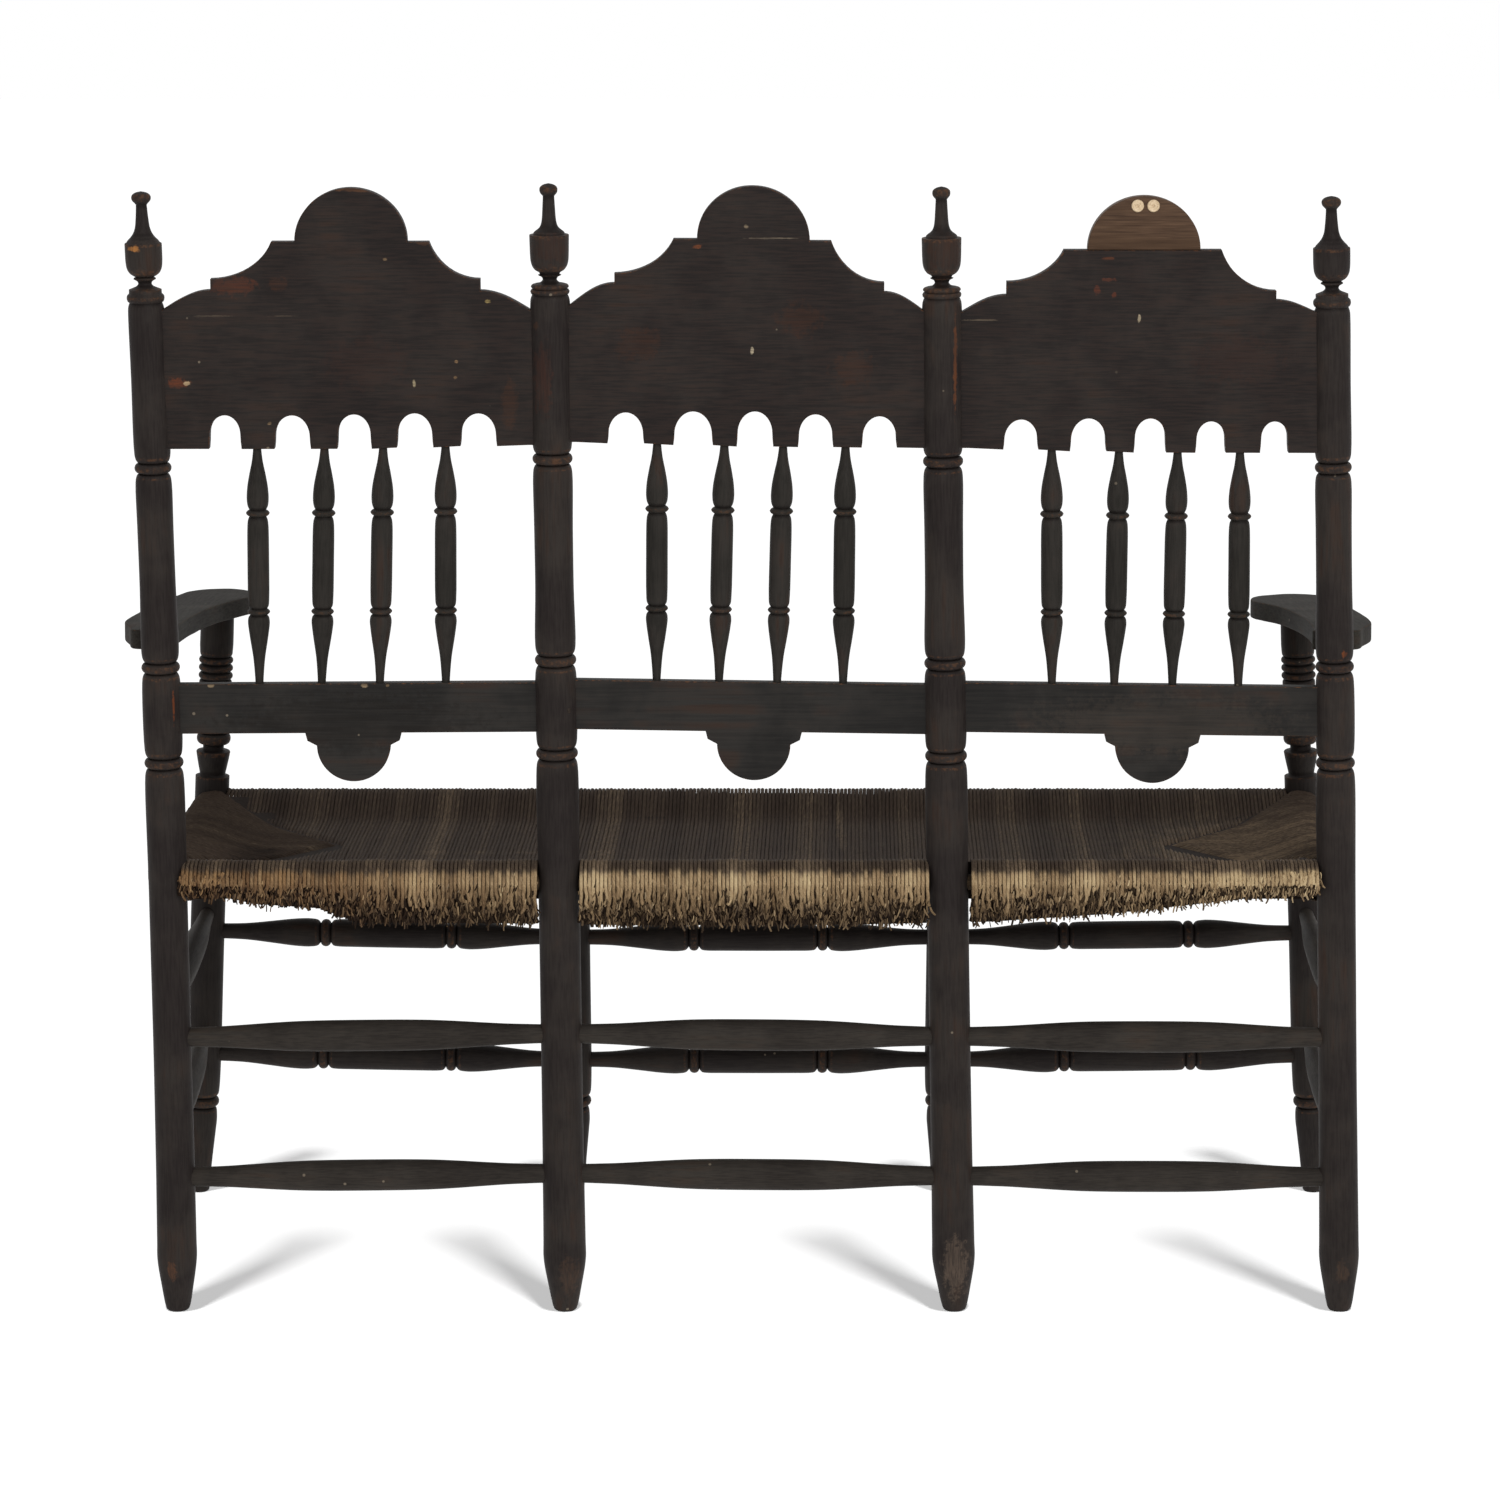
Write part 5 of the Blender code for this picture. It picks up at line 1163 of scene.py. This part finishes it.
def rearDrop(mesh, xr, lift, tone, seed, posts, dice):
    # one strand over the rear rail and down, with the turns behind it darkened by painted shade, and the loose bits
    # on it
    rim, cut = rush["rim"], dice.uniform(*fray["cut"])
    low = fringeLow(xr) + cut + 0.003 * noise.noise(Vector((xr * 60, 1.0, 0.0))) + dice.uniform(-0.002, 0.002)
    drop = overRail(xr, lift, (75, 60, 45, 32, 20, 8)) + hanging(xr, yRear + rim + lift, seatHigh, low, dice)
    x = clearOf(xr + 0.5 * rush["pitch"], posts, fray["innerClear"])
    innerLow, innerY = low - cut + dice.uniform(0.0, 0.003), yRear + rim - fray["innerGap"]
    inner = overRail(x, -fray["innerLift"], (40, 20, 5)) + hanging(x, innerY, seatHigh, innerLow, dice)
    width = (fray["innerWidth"] * rush["pitch"], acrossX, rush["round"])
    # the inner turn and the packed mass below it are darkened: painted shade behind the outer strands
    strand(mesh, inner, width, tone - fray["innerShade"], [0.5] * len(inner), seed + 7.0)
    x = clearOf(x, posts, fray["packedClear"])
    packed = [Vector((x, yRear + fray["packedAt"], seatHigh + (fringeLow(x) + 0.001 - seatHigh) * share))
              for share in (0.2, 0.6, 1.0)]
    width = (fray["packedWidth"] * rush["pitch"], acrossX, 0.10)
    strand(mesh, packed, width, fray["packedShade"], [0.5] * 3, seed + 11.0)
    for tuft in range(fray["tufts"]):
        frayedEnd(mesh, xr, fringeLow(xr) + dice.uniform(*fray["tuftRise"]), seed + tuft, dice)
    for fibre in range(fray["fibres"]):
        looseFibre(mesh, xr, fringeLow(xr), seed + fibre, dice)
    return drop


def longStrands(mesh, dice):
    # strands from the front rail to the rear one, or to the side strands near the corners
    rim, tuck = rush["rim"], Vector((0, 0, rush["tuck"]))
    frontLegs = [frontAxis(p, frontRail).x for p in (1, 2)]
    rearPosts = [rearAxis(p, seatHigh).x for p in (1, 2)]
    leftFront, rightFront = (sideX(side, 0) - side * rush["fromFront"] for side in (1, -1))
    leftRear, rightRear = (sideX(side, 1) - side * rush["fromRear"] for side in (1, -1))
    number = int((leftRear - rightRear) / rush["pitch"])
    for count in range(number + 1):
        share = count / number
        xf = rightFront + (leftFront - rightFront) * share
        xr = besidePost(rightRear + (leftRear - rightRear) * share, rearPosts)
        seed, lift = dice.uniform(0, 50), dice.uniform(-0.0003, 0.0004)
        tone = 0.5 + 0.9 * noise.noise(Vector((xr * 28, 5.0, 0.0))) + dice.uniform(-0.22, 0.22)
        width = (rush["pitch"] * dice.uniform(0.98, 1.10), acrossX, rush["round"])
        lateness = dice.uniform(-1.0, 1.0)
        fromSide = min(leftRear - xr, xr - rightRear) + rush["beyond"]
        reach = rush["reach"] * min(1.0, fromSide / rush["apex"])

        def at(y, upper):
            t = (y - yFront) / (yRear - yFront)
            x = xf + (xr - xf) * t + rush["wander"] * noise.noise(Vector((seed, y * 20, 3.0)))
            swell = rush["swell"] * noise.noise(Vector((x * 22, y * 16, 9.0)))
            return Vector((x, y, sheetHeight(x, y, upper) + lift + swell))

        whole = fromSide >= rush["apex"]
        stopFront = yRear if whole else yFront + reach
        overLeg = min(abs(xf - x) for x in frontLegs) < rush["fromLeg"]
        atPost = min(abs(xr - x) for x in rearPosts) < 0.99 * rush["besidePost"]
        path = []
        if not overLeg:
            shares = (0.94 if whole else 1.0, 0.75, 0.5, 0.25, 0.08)
            path += [at(yFront + (stopFront - yFront) * s, False) for s in shares]
        for turn in (88, 100, 120, 140, 160, 180) if overLeg else (0, 25, 50, 75, 100, 125, 150, 180):
            angle, out = math.radians(-90 - turn), rim + lift
            path.append(Vector((xf, yFront + out * math.cos(angle), frontRail + out * math.sin(angle))))
        topSteps = rush["topSteps"] if whole else max(3, round(rush["topSteps"] * reach / rush["fullRun"]))
        topEnd = (yRear - (rush["postGap"] if atPost else 0.0)) if whole else stopFront
        path += [at(yFront + (topEnd - yFront) * (step + 1) / topSteps, True) for step in range(topSteps)]
        drop = [] if atPost else rearDrop(mesh, xr, lift, tone, seed, rearPosts, dice)
        if whole:
            path += drop
        else:
            path[-1] = path[-1] - tuck
        strand(mesh, path, width, tone, goldOf(path, lateness), seed)
        if not whole and not atPost:
            start = yRear - reach
            path = [at(start + (yRear - start) * step / 4, True) for step in range(4)]
            path[0] = path[0] - tuck
            path += [Vector((xr, yRear, seatHigh + rim + lift))] + drop
            strand(mesh, path, width, tone, goldOf(path, lateness), seed)


def sideStrands(mesh, dice):
    # strands from the diagonal out over a side rail and back below
    yStart, yEnd = yFront + rush["fromFront"], yRear - rush["fromRear"]
    number = int((yEnd - yStart) / rush["pitch"])
    for side in (1, -1):
        for count in range(number + 1):
            y = yStart + (yEnd - yStart) * count / number
            share = (y - yFront) / (yRear - yFront)
            fromEnd = min(y - yStart, yEnd - y)
            reach = rush["beyond"] + (rush["apex"] - rush["beyond"]) * min(1.0, fromEnd / rush["sideApex"])
            edge, railZ = sideX(side, share), frontRail + rush["sideRise"] + rush["rise"] * share
            seed, lift = dice.uniform(0, 50), dice.uniform(-0.0002, 0.0003)
            tone = 0.45 + 0.5 * noise.noise(Vector((y * 30, side, 0.0))) + dice.uniform(-0.15, 0.15)
            radius = rush["sideRim"] + lift
            width = (rush["pitch"] * dice.uniform(1.10, 1.22), acrossY, rush["flat"])
            steps, path = max(3, round(12 * reach / rush["apex"])), []
            for step in range(steps):
                x = edge - side * reach * (1 - step / steps)
                path.append(Vector((x, y, sheetHeight(x, y, True) + rush["sideAbove"] + lift)))
            path[0].z -= rush["sideTuck"]
            for turn in (90, 65, 40, 15, -15, -45, -75, -90):
                angle = math.radians(turn)
                path.append(Vector((edge + side * radius * math.cos(angle), y, railZ + radius * math.sin(angle))))
            for step in range(1, 5):
                x = edge - side * reach * step / 4
                path.append(Vector((x, y, sheetHeight(x, y, False) - rush["sideBelow"])))
            strand(mesh, path, width, tone, [0.0] * len(path), seed)


def rushCore(mesh):
    # the imported inside of the seat, which closes the gaps between the strands; its darkest tone is painted shade
    # in those gaps
    points, faces, values = mesh
    inset, below, base = 0.022, 0.0006, len(points)
    rows, columns = 12, 40
    for upper in (True, False):
        for row in range(rows + 1):
            y = yFront + inset + (yRear - yFront - 2 * inset) * row / rows
            share = (y - yFront) / (yRear - yFront)
            low, high = sideX(-1, share) + inset, sideX(1, share) - inset
            for column in range(columns + 1):
                x = low + (high - low) * column / columns
                points.append(Vector((x, y, sheetHeight(x, y, upper) - (below if upper else -below))))
    laid = points[base:]
    values["grainAt"] += [tuple(point) for point in laid]
    # tone -1 makes the core darkest: painted shade seen between the strands
    for key, value in (("tone", -1.0), ("gold", 0.0), ("pale", 0.0)):
        values[key] += [value] * len(laid)
    wide = columns + 1
    sheet = wide * (rows + 1)
    rim = list(range(wide)) + [row * wide + columns for row in range(1, rows + 1)]
    rim += [rows * wide + column for column in range(columns - 1, -1, -1)]
    rim += [row * wide for row in range(rows - 1, 0, -1)]
    for row in range(rows):
        for column in range(columns):
            a = base + row * wide + column
            faces.append((a, a + 1, a + wide + 1, a + wide))
            faces.append((a + sheet + wide, a + sheet + wide + 1, a + sheet + 1, a + sheet))
    for a, b in zip(rim, rim[1:] + rim[:1]):
        faces.append((base + b, base + a, base + a + sheet, base + b + sheet))


def railCores(mesh):
    # the inner turns round the front rail, seen between the strands, given a dark tone as painted shade
    ends = [-frontAxis(post, frontRail).x for post in range(4)]
    for low, high in zip(ends, ends[1:]):
        path = [Vector((-(low + (high - low) * share), yFront, frontRail)) for share in (0.09, 0.36, 0.64, 0.91)]
        strand(mesh, path, (rush["railCore"], acrossY, 0.5), -0.6, [0.0] * 4, 3.0)


# the whole seat is one piece: points, faces, and the values that its material reads
rushPoints, rushFaces, rushValues = rushMesh = ([], [], {"grainAt": [], "tone": [], "gold": [], "pale": []})
rushDice = random.Random("rush")
longStrands(rushMesh, rushDice)
railCores(rushMesh)
sideStrands(rushMesh, rushDice)
rushCore(rushMesh)
grainAt = rushValues.pop("grainAt")
makePiece("rushSeat", rushPoints, rushFaces, rushStraw, ["rush_seat"], rushValues,
          {"grainAt": grainAt}, 80.0)
print("rush strands laid:", len(rushPoints), "points")

# the seat rails keep their own shape inside the strands
for name, node in frame["nodes"].items():
    if name.startswith("seat_rail"):
        node.data.materials.clear()
        node.data.materials.append(railWood)


# camera, at the photograph's place behind the settee
# the focal length and the shift are in pixels of a square picture
camera = {"spot": (0.000893, 4.903115, 1.437), "pitch": 9.33, "focal": 4705.0, "shift": (-2.0, -75.0),
          "picture": 1500.0, "sensor": 36.0}
cameraData = bpy.data.cameras.new("viewCamera")
cameraData.sensor_width = camera["sensor"]
cameraData.lens = camera["focal"] * camera["sensor"] / camera["picture"]
cameraData.shift_x, cameraData.shift_y = (shift / camera["picture"] for shift in camera["shift"])
viewCamera = bpy.data.objects.new("viewCamera", cameraData)
viewCamera.location = camera["spot"]
viewCamera.rotation_euler = (math.radians(90.0 - camera["pitch"]), 0.0, math.radians(180.0))
scene.collection.objects.link(viewCamera)
scene.camera = viewCamera

# floor: plain and pale, lit only by two lamps of its own, which keep the posts' shadows on it
studio = {
    "floorSize": 60.0, "floorColour": "#808080", "worldLight": 0.30,
    # the lamps of the settee: watts, place and size
    "key": 150.0, "keyAt": (-1.6, 4.6, 3.6), "keySize": 3.0, "top": 26.0, "topAt": (0.6, 0.6, 4.2), "topSize": 3.5,
    # the floor's lamps, each for the shadows of some of the posts: turn from straight behind, height, softness
    "floorSun": 7.7, "sunTurns": {"Left": -22.0, "Right": 20.0}, "sunHeight": 73.0, "sunSpread": 4.0,
}
half = 0.5 * studio["floorSize"]
floorMesh = bpy.data.meshes.new("floor")
floorMesh.from_pydata([(-half, -half, 0), (half, -half, 0), (half, half, 0), (-half, half, 0)], [], [(0, 1, 2, 3)])
floor = bpy.data.objects.new("floor", floorMesh)
scene.collection.objects.link(floor)
floorPaint, tree, shader = newMaterial("palePaintedFloor")
feed(tree, shader, {"Base Color": linear(studio["floorColour"]), "Roughness": 0.9, "Specular IOR Level": 0.0})
floor.data.materials.append(floorPaint)

# a white world to the eye, dimmer as a light
world = bpy.data.worlds.new("paleStudio")
scene.world = world
world.use_nodes = True
tree = world.node_tree
rays = addNode(tree, "ShaderNodeLightPath").outputs
seen = rays["Is Camera Ray"]
for ray in ("Is Glossy Ray", "Is Transmission Ray"):
    seen = addNode(tree, "ShaderNodeMath", {0: seen, 1: rays[ray]}, operation="MAXIMUM").outputs[0]
strength = addNode(tree, "ShaderNodeMapRange", {"Value": seen, "To Min": studio["worldLight"]}).outputs[0]
feed(tree, tree.nodes["Background"], {"Strength": strength, "Color": linear("#ffffff")})


def addLamp(name, kind, energy, aim, receivers, **settings):
    lamp = bpy.data.lights.new(name, kind)
    lamp.energy = energy
    for key, value in settings.items():
        setattr(lamp, key, value)
    made = bpy.data.objects.new(name, lamp)
    made.rotation_euler = aim.to_track_quat("-Z", "Y").to_euler()
    made.light_linking.receiver_collection = receivers
    scene.collection.objects.link(made)
    return made


floorOnly, allButFloor = (bpy.data.collections.new(name) for name in ("floorOnly", "allButFloor"))
for group in (floorOnly, allButFloor):
    group.objects.link(floor)
allButFloor.collection_objects[0].light_linking.link_state = "EXCLUDE"
for name in ("key", "top"):
    spot = Vector(studio[name + "At"])
    softbox = addLamp(name + "Softbox", "AREA", studio[name], Vector((0.0, 0.0, 0.6)) - spot, allButFloor,
                      shape="DISK", size=studio[name + "Size"])
    softbox.location = spot
for side, turn in studio["sunTurns"].items():
    turn, rise = math.radians(turn), math.radians(studio["sunHeight"])
    toSun = Vector((-math.sin(turn) * math.cos(rise), math.cos(turn) * math.cos(rise), math.sin(rise)))
    floorSun = addLamp("floorSun" + side, "SUN", studio["floorSun"], -toSun, floorOnly,
                       angle=math.radians(studio["sunSpread"]))
    standing = bpy.data.collections.new("standing" + side)
    for obj in scene.objects:
        onLeft = obj.name in ("rearPostLeftOuter", "frontPostLeft")
        if obj.name.startswith(("rearPost", "frontPost", "frontLeg")) and onLeft == (side == "Left"):
            standing.objects.link(obj)
    floorSun.light_linking.blocker_collection = standing

scene.view_settings.view_transform = "Standard"
print("studio set")
